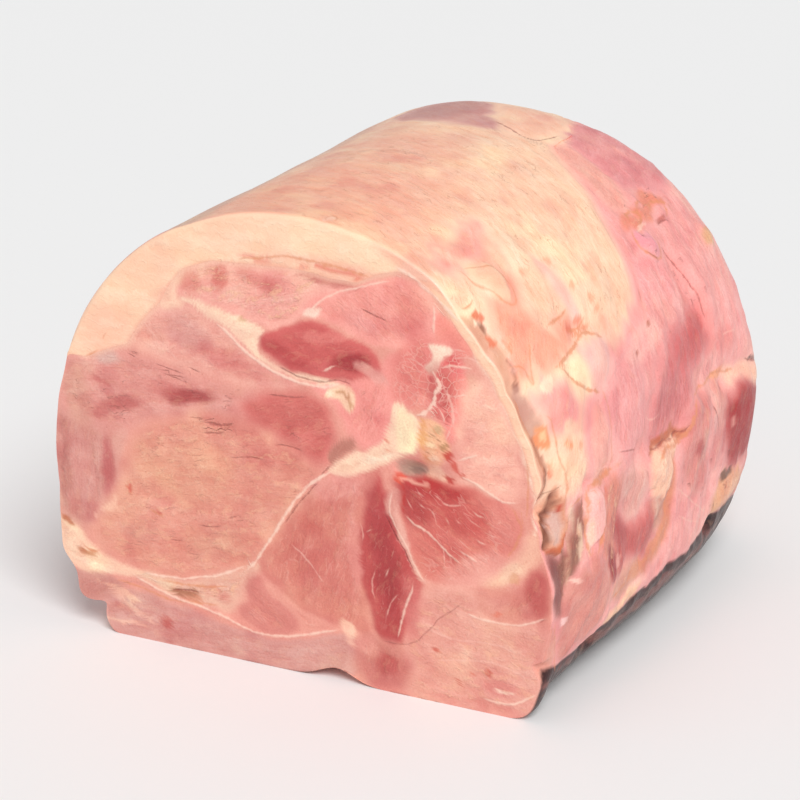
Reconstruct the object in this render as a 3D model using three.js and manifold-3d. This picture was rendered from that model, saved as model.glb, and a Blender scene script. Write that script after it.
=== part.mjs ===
// A boned and pressed shoulder ham, sawn through at one end. The cut faces -Y, the flat foot lies on Z = 0.
// Millimetres, with the origin under the middle of the ham. Angles run round the axis of the section,
// from the right flank (0 degrees) over the top (90 degrees) to the left flank (180 degrees).
import * as THREE from "three";
import { mergeVertices } from "three/addons/utils/BufferGeometryUtils.js";
import Module from "manifold-3d";

// Length from the cut to the tip of the rounded rear end, and where the axis of the section lies.
const LENGTH = 188;
const AXIS_X = -3.26;
const AXIS_Z = 62;

// Reach of the section from its axis, at the cut and at the belly.
const REACH_RIGHT = [86.5, 95];
const REACH_LEFT = [87, 84];
const REACH_UP = [87.5, 92];
const REACH_DOWN = 63.9;
const BELLY_AT = 0.62;

// How square each quarter of the section is: 2 is an ellipse, more is squarer.
const SQUARE_TOP_RIGHT = [2.0, 2.2];
const SQUARE_TOP_LEFT = [2.12, 1.9];
const SQUARE_LOW_RIGHT = 5.5;
const SQUARE_LOW_LEFT = 5.2;

// The rear end rounds over these lengths at the side, at the top and at the foot.
const ROUND_SIDE = 45;
const ROUND_TOP = 57;
const ROUND_LOW = 30;
const ROUND_POWER = 2.27;
const REAR_LEAN = -1;

// The layer of fat: where it ends on both flanks and at the rear, and how thick it is.
const FAT_LEFT_END = 159;
const FAT_LEFT_WAVE = 2.5;
const FAT_RIGHT_AT_CUT = 8;
const FAT_RIGHT_AT_WAIST = 26;
const FAT_RIGHT_AT_REAR = 67;
const FAT_LENGTH = 158;
const FAT_REAR_WAVE = 5;
const FAT_REAR_CORNER = 30;
const FAT_THIN = 2.6;
const FAT_THICK = 16;
const FAT_EDGE = 1.6;
const BED_GROWTH = 0.7;
const BED_OVERHANG = 6;

// Grid of the blanks that the two pieces are moulded from.
const BODY_ACROSS = 20;
const BODY_ALONG = 24;
const REAR_CAP = 0.72;
const FAT_AROUND = 40;
const FAT_ALONG = 22;

// Lumps (+) and hollows (-) of the flank. Each is a bell: middle as [mm behind the cut, angle],
// spread as [mm, degrees], and height in mm.
const FLANK_FORMS = [
  { name: "lip above the corner flap", at: [0, -17], spread: [7, 11], height: 3.4 },
  { name: "pocket behind the cut", at: [4, 1], spread: [6, 5], height: -4 },
  { name: "lobe of the shank muscle", at: [26, -13], spread: [12, 9], height: 3 },
  { name: "hollow between two lobes", at: [50, -6], spread: [13, 6], height: -2.6 },
  { name: "gland under the skin", at: [105, 39.5], spread: [8, 4], height: 2.6 },
  { name: "flat of the rear flank", at: [156, 30], spread: [22, 17], height: -7 },
  { name: "lifted heel", at: [150, -29], spread: [26, 11], height: -7 },
  { name: "sunk rear top", at: [153, 98], spread: [20, 24], height: -6 },
  { name: "torn lower left corner", at: [0, 217], spread: [12, 5], height: -5 },
  { name: "upper lobe of the left flank", at: [58, 181], spread: [34, 12], height: 2.6 },
  { name: "lower lobe of the left flank", at: [112, 199], spread: [36, 9], height: 2.4 },
];

// Creases of the flank, each a straight line from one [mm, angle] to another.
const FLANK_CREASES = [
  { name: "undercut above the foot", from: [10, -28], to: [118, -24], width: 5, depth: 4.5 },
  { name: "seam under the dark muscle", from: [58, 4], to: [88, 4], width: 4, depth: 2.6 },
  { name: "seam of the rear lobe", from: [104, 10], to: [150, 4], width: 4, depth: 2.4 },
  { name: "groove of the rear flank", from: [110, 34], to: [117, 19], width: 5, depth: 2 },
  { name: "seam of the left flank", from: [24, 196], to: [150, 184], width: 4, depth: 2.6 },
  { name: "undercut of the left flank", from: [12, 211], to: [130, 207], width: 5, depth: 3 },
];

// Creases of the rounded rear end, from one [x, z] to another, between its muscles.
const REAR_CREASES = [
  { name: "seam under the rear cushion", from: [-58, 44], to: [6, 70], width: 6, depth: 4 },
  { name: "seam up to the fat", from: [6, 70], to: [18, 122], width: 6, depth: 3.5 },
  { name: "seam of the rear shank", from: [6, 70], to: [62, 34], width: 6, depth: 3.5 },
];

// The saw pulled the right edge of the cut in, and the foot arches up at the cut.
const PULLED_EDGE = { depth: 3.4, run: 7, from: -24, to: 46 };
const FOOT_ARCH = { x: 10.2, half: 8, height: 4.2, run: 14 };
const GRISTLE_HOLLOW = { x: 38.2, z: 75, half: [8, 4], depth: 3 };
const CUT_RELIEF_RUN = 3;
const REAR_RELIEF_RUN = 45;

const RAD = Math.PI / 180;
const mix = (a, b, t) => a + (b - a) * t;
const clamp01 = (t) => Math.min(Math.max(t, 0), 1);
const bell = (x, spread) => Math.exp(-((x / spread) ** 2));

function smooth(from, to, x) {
  const t = clamp01((x - from) / (to - from));
  return t * t * (3 - 2 * t);
}

// Angle difference folded to the range of -180 to 180 degrees.
function turn(from, to) {
  return ((((to - from + 180) % 360) + 360) % 360) - 180;
}

// Share of the full belly at a depth u behind the cut.
function swell(u) {
  const t = u / LENGTH;
  return t > BELLY_AT ? 1 : Math.sin((Math.PI * clamp01(t)) / (2 * BELLY_AT));
}

// Radius of the plain section in the direction of an angle.
function sectionRadius(angle, u) {
  const full = swell(u);
  const c = Math.cos(angle * RAD);
  const s = Math.sin(angle * RAD);
  const across = c >= 0 ? mix(...REACH_RIGHT, full) : mix(...REACH_LEFT, full);
  const up = s >= 0 ? mix(...REACH_UP, full) : REACH_DOWN;
  const high = c >= 0 ? mix(...SQUARE_TOP_RIGHT, full) : mix(...SQUARE_TOP_LEFT, full);
  const low = c >= 0 ? SQUARE_LOW_RIGHT : SQUARE_LOW_LEFT;
  const power = s >= 0 ? high : low;
  return (Math.abs(c / across) ** power + Math.abs(s / up) ** power) ** (-1 / power);
}

// Length over which the rear end rounds off, seen along an angle.
function roundLength(angle) {
  const s = Math.sin(angle * RAD);
  const end = s >= 0 ? ROUND_TOP : ROUND_LOW;
  return ROUND_SIDE + (end - ROUND_SIDE) * s * s;
}

// Share of the section's radius left at a depth u, and the depth at which a share is left.
function rearShare(angle, u) {
  const into = clamp01((u - LENGTH + roundLength(angle)) / roundLength(angle));
  return (1 - into ** ROUND_POWER) ** (1 / ROUND_POWER);
}

function rearDepth(angle, share) {
  const into = (1 - share ** ROUND_POWER) ** (1 / ROUND_POWER);
  return LENGTH - roundLength(angle) * (1 - into);
}

// Depth of a crease at a place, given as its offset from the start of the crease.
function creaseDepth(crease, offX, offY) {
  const runX = crease.to[0] - crease.from[0];
  const runY = crease.to[1] - crease.from[1];
  const along = clamp01((offX * runX + offY * runY) / (runX ** 2 + runY ** 2));
  const gap = Math.hypot(offX - runX * along, offY - runY * along);
  return crease.depth * bell(gap, crease.width);
}

// Relief of the flank in mm, outwards from the axis.
function flankRelief(angle, u) {
  let out = 0;
  for (const form of FLANK_FORMS) {
    out += form.height * bell(u - form.at[0], form.spread[0]) * bell(turn(form.at[1], angle), form.spread[1]);
  }
  for (const crease of FLANK_CREASES) {
    out -= creaseDepth(crease, u - crease.from[0], turn(crease.from[1], angle));
  }
  const { depth, run, from, to } = PULLED_EDGE;
  const side = smooth(from - 8, from, turn(0, angle)) * (1 - smooth(to, to + 12, turn(0, angle)));
  return out - depth * side * bell(u, run);
}

function skinRadius(angle, u) {
  const depth = Math.max(u, 0);
  return (sectionRadius(angle, depth) + flankRelief(angle, depth)) * rearShare(angle, depth);
}

// Step of the cut face along Y, at a place on the face.
function cutRelief(x, z) {
  const { half, depth } = GRISTLE_HOLLOW;
  return depth * bell(x - GRISTLE_HOLLOW.x, half[0]) * bell(z - GRISTLE_HOLLOW.z, half[1]);
}

function rearRelief(x, z) {
  let inwards = 0;
  for (const crease of REAR_CREASES) {
    inwards += creaseDepth(crease, x - crease.from[0], z - crease.from[1]);
  }
  return inwards;
}

function footArch(x, u) {
  return FOOT_ARCH.height * bell(x - FOOT_ARCH.x, FOOT_ARCH.half) * bell(u, FOOT_ARCH.run);
}

// A point of the ham at an angle, a depth behind the cut and a distance from the axis.
function place(angle, u, radius) {
  const depth = Math.max(u, 0);
  const x = AXIS_X + (REAR_LEAN * depth) / LENGTH + radius * Math.cos(angle * RAD);
  const z = Math.max(AXIS_Z + radius * Math.sin(angle * RAD), footArch(x, depth));
  const inFront = cutRelief(x, z) * bell(depth, CUT_RELIEF_RUN);
  const behind = rearRelief(x, z) * smooth(LENGTH - REAR_RELIEF_RUN, LENGTH, depth);
  return new THREE.Vector3(x, u - LENGTH / 2 + inFront - behind, z);
}

// A blank box whose points, each from -0.5 to 0.5 on an axis, are moved by a function.
function mould(across, deep, along, move) {
  const blank = new THREE.BoxGeometry(1, 1, 1, across, deep, along);
  blank.deleteAttribute("normal");
  blank.deleteAttribute("uv");
  const shape = mergeVertices(blank);
  const spots = shape.getAttribute("position");
  for (let i = 0; i < spots.count; i += 1) {
    const spot = move(spots.getX(i), spots.getY(i), spots.getZ(i));
    spots.setXYZ(i, spot.x, spot.y, spot.z);
  }
  return shape;
}

// The whole ham: the front of the box becomes the cut, its four sides the skin, its back the rear end.
function hamPoint(bx, by, bz) {
  const ring = 2 * Math.max(Math.abs(bx), Math.abs(by));
  const angle = Math.atan2(by, -bx) / RAD;
  if (bz === -0.5) {
    return place(angle, 0, ring * skinRadius(angle, 0));
  }
  if (bz === 0.5) {
    const depth = rearDepth(angle, REAR_CAP * ring);
    return place(angle, depth, skinRadius(angle, depth));
  }
  const depth = (bz + 0.5) * rearDepth(angle, REAR_CAP);
  return place(angle, depth, skinRadius(angle, depth));
}

// Right end of the fat at a depth u: low at the cut, then climbing to the top of the rear flank.
function fatRightEnd(u) {
  const front = mix(FAT_RIGHT_AT_CUT, FAT_RIGHT_AT_WAIST, smooth(0, 62, u));
  return mix(front, FAT_RIGHT_AT_REAR, smooth(72, 114, u));
}

// Thickness of the fat: a thick cap over the top and the left shoulder, a thin sheet on the right flank.
function fatThickness(angle, u) {
  const cap = smooth(62, 76, angle) * (1 - smooth(152, 162, angle));
  const fold = 5 * bell(angle - 129, 7) - 5 * bell(angle - 116, 7);
  const worn = 1 - 0.4 * smooth(20, 130, u);
  return FAT_THIN + ((FAT_THICK - FAT_THIN) * cap + fold) * worn;
}

// Rear end of the fat, with its two corners rounded off. Across runs from 0 at the right to 1 at the left.
function fatRearEnd(across) {
  const corner = FAT_REAR_CORNER * (2 * across - 1) ** 4;
  return FAT_LENGTH - corner + FAT_REAR_WAVE * Math.sin(11 * across);
}

// The fat as a slab bent round the ham.
function fatPoint(bx, by, bz) {
  const across = bx + 0.5;
  const u = mix(0, fatRearEnd(across), bz + 0.5);
  const right = fatRightEnd(u);
  const left = FAT_LEFT_END + FAT_LEFT_WAVE * Math.sin(u / 15);
  const angle = mix(right, left, across);
  const skin = skinRadius(angle, u);
  const rim = smooth(0, 5, Math.min(angle - right, left - angle));
  const thick = mix(FAT_EDGE, fatThickness(angle, u), rim) * mix(1, 0.6, smooth(130, 150, u));
  return place(angle, u, by > 0 ? skin : skin - thick);
}

// The bed of the fat: its slab grown by the fit, and raised above the skin so that it cuts right through.
function bedPoint(spot, normal) {
  const up = new THREE.Vector3(spot.x - AXIS_X, 0, spot.z - AXIS_Z).normalize();
  const grown = spot.clone().addScaledVector(normal, BED_GROWTH);
  if (spot.y < BED_GROWTH - LENGTH / 2) {
    grown.y = Math.min(grown.y, spot.y) - BED_GROWTH;
  }
  return normal.dot(up) > 0 ? grown.addScaledVector(up, BED_OVERHANG) : grown;
}

const wasm = await Module();
wasm.setup();

function toSolid(geometry) {
  const vertProperties = new Float32Array(geometry.getAttribute("position").array);
  const triVerts = new Uint32Array(geometry.getIndex().array);
  return new wasm.Manifold(new wasm.Mesh({ numProp: 3, vertProperties, triVerts }));
}

function toGeometry(solid) {
  const mesh = solid.getMesh();
  const geometry = new THREE.BufferGeometry();
  geometry.setAttribute("position", new THREE.BufferAttribute(mesh.vertProperties, 3));
  geometry.setIndex(new THREE.BufferAttribute(mesh.triVerts, 1));
  geometry.computeVertexNormals();
  return geometry;
}

function fatGeometry() {
  const slab = mould(FAT_AROUND, 1, FAT_ALONG, fatPoint);
  slab.computeVertexNormals();
  return slab;
}

function bedGeometry() {
  const bed = fatGeometry();
  const spots = bed.getAttribute("position");
  const normals = bed.getAttribute("normal");
  for (let i = 0; i < spots.count; i += 1) {
    const spot = new THREE.Vector3().fromBufferAttribute(spots, i);
    const normal = new THREE.Vector3().fromBufferAttribute(normals, i);
    spots.setXYZ(i, ...bedPoint(spot, normal));
  }
  return bed;
}

function leanGeometry() {
  const ham = mould(BODY_ACROSS, BODY_ACROSS, BODY_ALONG, hamPoint);
  return toGeometry(toSolid(ham).subtract(toSolid(bedGeometry())));
}

function piece(name, geometry, color, roughness) {
  const material = new THREE.MeshStandardMaterial({ color, roughness, metalness: 0 });
  const mesh = new THREE.Mesh(geometry, material);
  mesh.name = name;
  return mesh;
}

const ham = new THREE.Group();
ham.add(piece("lean", leanGeometry(), 0xe79a94, 0.42));
ham.add(piece("fat_cap", fatGeometry(), 0xfbd3b0, 0.38));

export default ham;
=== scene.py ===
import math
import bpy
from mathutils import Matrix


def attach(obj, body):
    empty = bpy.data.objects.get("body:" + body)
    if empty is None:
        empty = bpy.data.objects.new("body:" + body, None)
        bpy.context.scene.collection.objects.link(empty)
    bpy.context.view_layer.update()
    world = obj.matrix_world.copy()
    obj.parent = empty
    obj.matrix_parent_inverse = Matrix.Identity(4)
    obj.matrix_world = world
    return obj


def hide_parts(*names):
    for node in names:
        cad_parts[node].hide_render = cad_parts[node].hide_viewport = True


bl_info = {
    "name": "Cut Shoulder Ham",
    "version": (1, 0, 0),
    "blender": (4, 5, 0),
    "location": "3D View > Sidebar > Ham",
    "description": "A boned and pressed shoulder ham with one end cut off, its cap of fat and a plain studio",
    "category": "Add Mesh",
}

from dataclasses import dataclass

import bmesh
import bpy
import numpy as np
from bpy.props import FloatProperty, FloatVectorProperty
from mathutils import Vector

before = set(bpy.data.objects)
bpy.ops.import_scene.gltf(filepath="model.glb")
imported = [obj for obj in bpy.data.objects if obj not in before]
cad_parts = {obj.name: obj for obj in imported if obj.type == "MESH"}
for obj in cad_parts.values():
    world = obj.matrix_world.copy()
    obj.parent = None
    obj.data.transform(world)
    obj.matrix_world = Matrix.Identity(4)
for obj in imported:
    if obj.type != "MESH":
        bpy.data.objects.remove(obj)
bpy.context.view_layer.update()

# Lengths in the tables below are millimetres; meshes are made in metres.
MM = 0.001

# The ham's body: length, axis of the section, reach of the section at the cut and at the belly.
LENGTH = 188.0
AXIS_X, AXIS_Z = -3.26, 62.0
REACH_RIGHT = (86.5, 95.0)
REACH_LEFT = (87.0, 84.0)
REACH_UP = (87.5, 92.0)
REACH_DOWN = 63.9
BELLY_AT = 0.62
SQUARE_TOP_RIGHT = (2.0, 2.2)
SQUARE_TOP_LEFT = (2.12, 1.9)
SQUARE_LOW_RIGHT = 5.5
SQUARE_LOW_LEFT = 5.2
ROUND_SIDE, ROUND_TOP, ROUND_LOW = 45.0, 57.0, 30.0
ROUND_POWER = 2.27
REAR_LEAN = -1.0

# The cap of fat: its ends round the flanks and at the rear. A run is where a change starts and ends.
FAT_LEFT_END, FAT_LEFT_WAVE, FAT_LEFT_WAVE_RUN = 159.0, 2.5, 15
FAT_RIGHT_AT_CUT, FAT_RIGHT_AT_WAIST, FAT_RIGHT_AT_REAR = 8.0, 26.0, 67.0
FAT_WAIST_RUN, FAT_REAR_RUN = (0, 62), (72, 114)
FAT_LENGTH, FAT_REAR_WAVE, FAT_REAR_WAVES, FAT_REAR_CORNER = 158.0, 5.0, 11, 30.0
FAT_EDGE_RUN, FAT_END_RUN = (-0.3, 4.0), (-0.5, 14)
# Its least thickness, how far it sinks into the bed, and how far it stands out of the skin.
FAT_FEATHER, FAT_SEAT, FAT_PROUD = 0.3, 0.2, 0.05
FAT_PROUD_BEHIND, FAT_BEHIND_RUN = 0.22, (60, 110)

# Thickness of the fat on the cut, as (angle, mm), and the share of it that is left further back.
FAT_THICKNESS = (
    (0, 1.6), (10, 2.4), (38, 3.0), (50, 2.4), (60, 2.8), (65, 4.0), (69, 8.5), (73, 14.0), (80, 16.0),
    (98, 16.0), (106, 14.6), (112, 12.4), (120, 12.0), (126, 14.5), (131, 17.0), (140, 17.0), (147, 17.3),
    (151, 13.0), (155, 8.5), (158, 5.0), (160, 2.6),
)
FAT_WORN, FAT_WORN_RUN = 0.6, (20, 130)
# Behind the cut its thickness is evened out over these degrees to each side.
FAT_EVEN, FAT_EVEN_RUN = 5, (2, 40)

# Where the middle of the cut lies across the ham. Places on the cut are (mm from that middle, height).
CUT_MIDDLE = 2.24
# Degrees round the flank are turned into millimetres of skin with this when distances are measured.
SKIN_MM = 1.55
# Tones are raised to this power, because the studio's light pales them.
TONE_DEPTH = 1.08
# Washes smaller than the first have ragged edges, those larger than the second smooth ones.
RAGGED_BELOW, SMOOTH_ABOVE, RAGGED_BY = 1.4, 3.2, 0.34
# Shares of a wash's radius where it begins to fade and where it ends, and what smallness does to them.
WASH_FULL, WASH_END, SMALL_FULL, SMALL_END = 0.5, 1.35, 0.32, 0.2
# Depth and width of the groove round a patch, and how far from its edge the streaks come in.
PATCH_GROOVE, PATCH_GROOVE_WIDE, STREAKS_FADE = 0.22, 1.1, (1.2, 3.2)
# A thread tapers over the first run from its ends, and is noted up to the second from its middle.
THREAD_TAPER, THREAD_SIDES, NO_THREAD = (0, 3.5), (1.6, 2.6), 4.0
THREAD_KINDS = ("pale", "web", "dark", "brown")

# Height of skin with a level of 1, faded near the foot, and heights of the skin's lumps.
SKIN_LEVEL, FOOT_RUN = 1.3, (0.5, 4)
SKIN_LUMPS, BARE_LUMPS, FINE_LUMPS, TORN_LUMPS = 0.35, 0.55, 0.25, 0.5
TORN_FROM, TORN_TO, TORN_REAR = (-30, -24), (48, 66), (120, 150)
# Streaks end near the middle of the rear, and grain over the bend from the top to the rear end.
POLE_RUN, BEND_SIDE, BEND_START, BEND_END = (6, 30), (70, 84), (146, 156), (168, 178)

# Grain of the skin, the lean's cut and the fat's cut: streak, net, fleck and vein.
SKIN_FEEL, CUT_FEEL, FAT_CUT_FEEL = (0.14, 0, 0.2, 0.03), (0.3, 0, 0, 0), (0.05, 0, 0.15, 0)
# Tones of the sides that don't show, the top, the rear's folds, the foot, the bed and the fat's lining.
HIDDEN_MAUVE, HIDDEN_CREAM = (206, 128, 124), (253, 208, 184)
TOP_TONE, FOLD_TONE, FOOT_TONE = (250, 196, 166), (196, 112, 104), (214, 150, 138)
BED_TONE, LINING_TONE = (250, 202, 178), (246, 182, 162)
# What warmer, cooler and small uneven places do to a tone.
WARMER, COOLER, MOTTLE_SHARE = (1.06, 1.24, 1.14), (0.90, 0.72, 0.76), 0.8
DAPPLE = (0.05, 0.11, 0.10)

# Strips of the lean's cut, steps along its side and round the rear, and the radius share where that begins.
LEAN_ACROSS, LEAN_SIDE, LEAN_REAR, REAR_CAP = 156, 96, 23, 0.72
# Strips of the fat round the ham, through it and along it.
FAT_AROUND, FAT_DEEP, FAT_ALONG = 270, 12, 128
# Share of each step back that is even. The rest grows with the distance from the cut.
LEAN_EVEN, FAT_EVEN_STEPS = 0.5, 0.6

# Relief of the cut in mm: lumps, patches, grooves of seams, ridges of threads, and a pit in the gristle.
SAWN_LUMPS, SAWN_LEVEL, SAWN_GROOVE, SAWN_RIDGE, SAWN_RIM = 0.28, 0.35, 0.35, 0.15, (0.955, 1.0)
PIT_DEPTH, PIT_X, PIT_Z, PIT_WIDE, PIT_HIGH = 3.0, 36, 75, 7, 3.2


def smooth(low, high, x):
    t = np.clip((x - low) / (high - low), 0, 1)
    return t * t * (3 - 2 * t)


def bell(x, spread):
    return np.exp(-((x / spread) ** 2))


def turn(start, angle):
    """Angle from start to angle, folded to the range of -180 to 180 degrees."""
    return (angle - start + 180) % 360 - 180


def noise(p, seed=0.0):
    """Smooth noise from -1 to 1 at an array of points, with lumps one unit apart."""
    base = np.floor(p)
    f = p - base
    f = f * f * (3 - 2 * f)
    total = np.zeros(len(p))
    for corner in np.ndindex(2, 2, 2):
        dots = np.sin((base + corner) @ (127.1, 311.7, 74.7) + seed) * 43758.5453
        weight = np.prod(np.where(corner, f, 1 - f), axis=1)
        total += weight * (2 * (dots - np.floor(dots)) - 1)
    return total


def lumps(p, size, octaves=3, seed=0.0):
    """Layered noise whose largest lumps are size mm across."""
    total = np.zeros(len(p))
    for octave in range(octaves):
        total += noise(p / size * 2**octave, seed + octave) * 0.5**octave
    return total


def paint(*rgb):
    """A colour from 0 to 255 as Blender's linear light."""
    c = np.array(rgb) / 255
    return np.where(c <= 0.04045, c / 12.92, ((c + 0.055) / 1.055) ** 2.4)


# Relief of the flank. Places are (mm behind the cut, angle).
@dataclass
class Form:
    """A lump (+) or a hollow (-): a bell with a middle, a spread in mm and degrees, and a height in mm."""
    name: str
    at: tuple
    spread: tuple
    height: float


@dataclass
class Crease:
    """A straight groove from one place to another."""
    name: str
    start: tuple
    end: tuple
    width: float
    depth: float


FLANK_FORMS = (
    Form("lip above the corner flap", (0, -17), (7, 11), 3.4),
    Form("pocket behind the cut", (4, 1), (6, 5), -4.0),
    Form("lobe of the shank muscle", (26, -13), (12, 9), 3.0),
    Form("hollow between two lobes", (50, -6), (13, 6), -2.6),
    Form("gland under the skin", (102, 39.5), (5, 2.8), 2.4),
    Form("flat of the rear flank", (156, 38), (22, 14), -1.0),
    Form("lifted heel", (152, -27), (22, 9), -2.5),
    Form("torn lower left corner", (0, 216.2), (12, 2.4), -5.0),
    Form("upper lobe of the left flank", (58, 181), (34, 12), 2.6),
    Form("lower lobe of the left flank", (112, 199), (36, 9), 2.4),
    Form("notch of the torn corner", (0, 216), (9, 1.2), -1.5),
    Form("bevel of the torn corner", (0, 207.5), (12, 3.5), -2.6),
    Form("notch under the corner flap", (0, -28.3), (5, 1.4), -3.4),
    Form("square right corner of the foot", (0, -38.5), (14, 5.5), 4.8),
    Form("left toe of the foot", (0, 222.5), (12, 2.6), 2.4),
    Form("swell of the rear flank", (152, -1), (22, 12), 3.4),
    Form("fat lobe by the cut", (19.5, 49.5), (5.5, 4), 1.1),
    Form("knot by the cut", (5, 33.5), (2.4, 1.8), 0.9),
    Form("slit in the pocket", (3, 5), (3, 3), -3.5),
    Form("bump in the pocket", (4.5, -1), (3, 2.5), 2.6),
    Form("pale lobe", (26, -2), (5, 6), 1.6),
    Form("pink lobe by the cut", (16, 24.5), (9, 3), 1.0),
    Form("clear lobe", (41, 26.5), (8, 4), 1.3),
    Form("lobe over the gland", (106, 45), (10, 2.5), 0.9),
    Form("cream cushion", (70, -1), (11, 4), 1.8),
    Form("lobe of the rear flank", (104, 1), (10, 7), 2.0),
    Form("hollow of the dark muscle", (78, 11), (18, 5), -1.8),
    Form("rear rib", (120, 27), (5, 9), 1.2),
    Form("fat scrap on the rear edge", (143, 34), (5, 3), 2.4),
    Form("cream strip at the rear", (142, 3), (14, 2.5), 1.6),
    Form("gristle over the heel", (132, -18), (12, 3), 1.8),
    Form("notch before the heel", (119, -23), (4, 2), -5.0),
    Form("notch under the flank", (31, -29), (6, 2), -4.0),
)
FLANK_CREASES = (
    Crease("seam under the dark muscle", (58, 4), (88, 4), 4, 2.6),
    Crease("seam of the rear lobe", (104, 10), (150, 4), 4, 2.4),
    Crease("groove of the rear flank", (110, 34), (117, 19), 5, 2.0),
    Crease("seam of the left flank", (24, 196), (150, 184), 4, 2.6),
    Crease("undercut of the left flank", (12, 211), (130, 207), 5, 3.0),
    Crease("groove behind the cut", (1.5, 31), (4, 16), 2.2, 1.6),
    Crease("edge of the pale lobe", (20, 6), (20, -9), 1.8, 1.1),
    Crease("seam over the pale lobe", (21, 6), (38, 6.2), 1.8, 1.2),
    Crease("low seam of the cushion", (60, -17), (80, -9), 2.5, 1.3),
    Crease("seam of the dark pocket", (2, -4), (9, -12), 3.0, 1.6),
    Crease("long seam of the top", (24, 62), (60, 54), 2.5, 0.5),
    Crease("seam below the fat lobe", (28, 38), (48, 32), 2.5, 0.8),
)
REAR_CREASES = (
    Crease("seam under the rear cushion", (-58, 44), (6, 70), 6, 4.0),
    Crease("seam up to the fat", (6, 70), (18, 122), 6, 3.5),
    Crease("seam of the rear shank", (6, 70), (62, 34), 6, 3.5),
)

# The right edge of the cut is pulled in, the foot is undercut on the right and arches up at the cut.
PULLED_DEPTH, PULLED_RUN, PULLED_LOW, PULLED_HIGH = 3.4, 7.0, (-32, -24), (46, 58)
UNDERCUT_DEPTH, UNDERCUT_ANGLES, UNDERCUT_LEFT = 0.6, (-27.5, -24.5), (-100, -70)
UNDERCUT_START, UNDERCUT_END = (4, 12), (116, 146)
ARCH_X, ARCH_HALF, ARCH_HEIGHT, ARCH_RUN = 10.2, 8.0, 4.2, 14.0
EDGE_ROUND, EDGE_RUN = 0.5, 0.5
REAR_RELIEF_RUN = 45.0


@dataclass
class Patch:
    """A muscle or a piece of tissue: colour, outline, soft edge, lie of the fibres, grain and height."""
    name: str
    colour: tuple
    outline: tuple
    soft: float = 1.0
    lie: float = 10.0
    streak: float = 0.5
    net: float = 0.0
    fleck: float = 0.2
    level: float = 0.0
    vein: float = 0.0


@dataclass
class Wash:
    """A soft oval of colour: middle, radii, tilt in degrees and strength."""
    colour: tuple
    at: tuple
    radii: tuple
    tilt: float = 0.0
    strength: float = 0.6


@dataclass
class Thread:
    """A thin line of tissue, with half its width in mm. Kinds: pale, web, dark and brown."""
    kind: str
    half: float
    points: tuple


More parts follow.
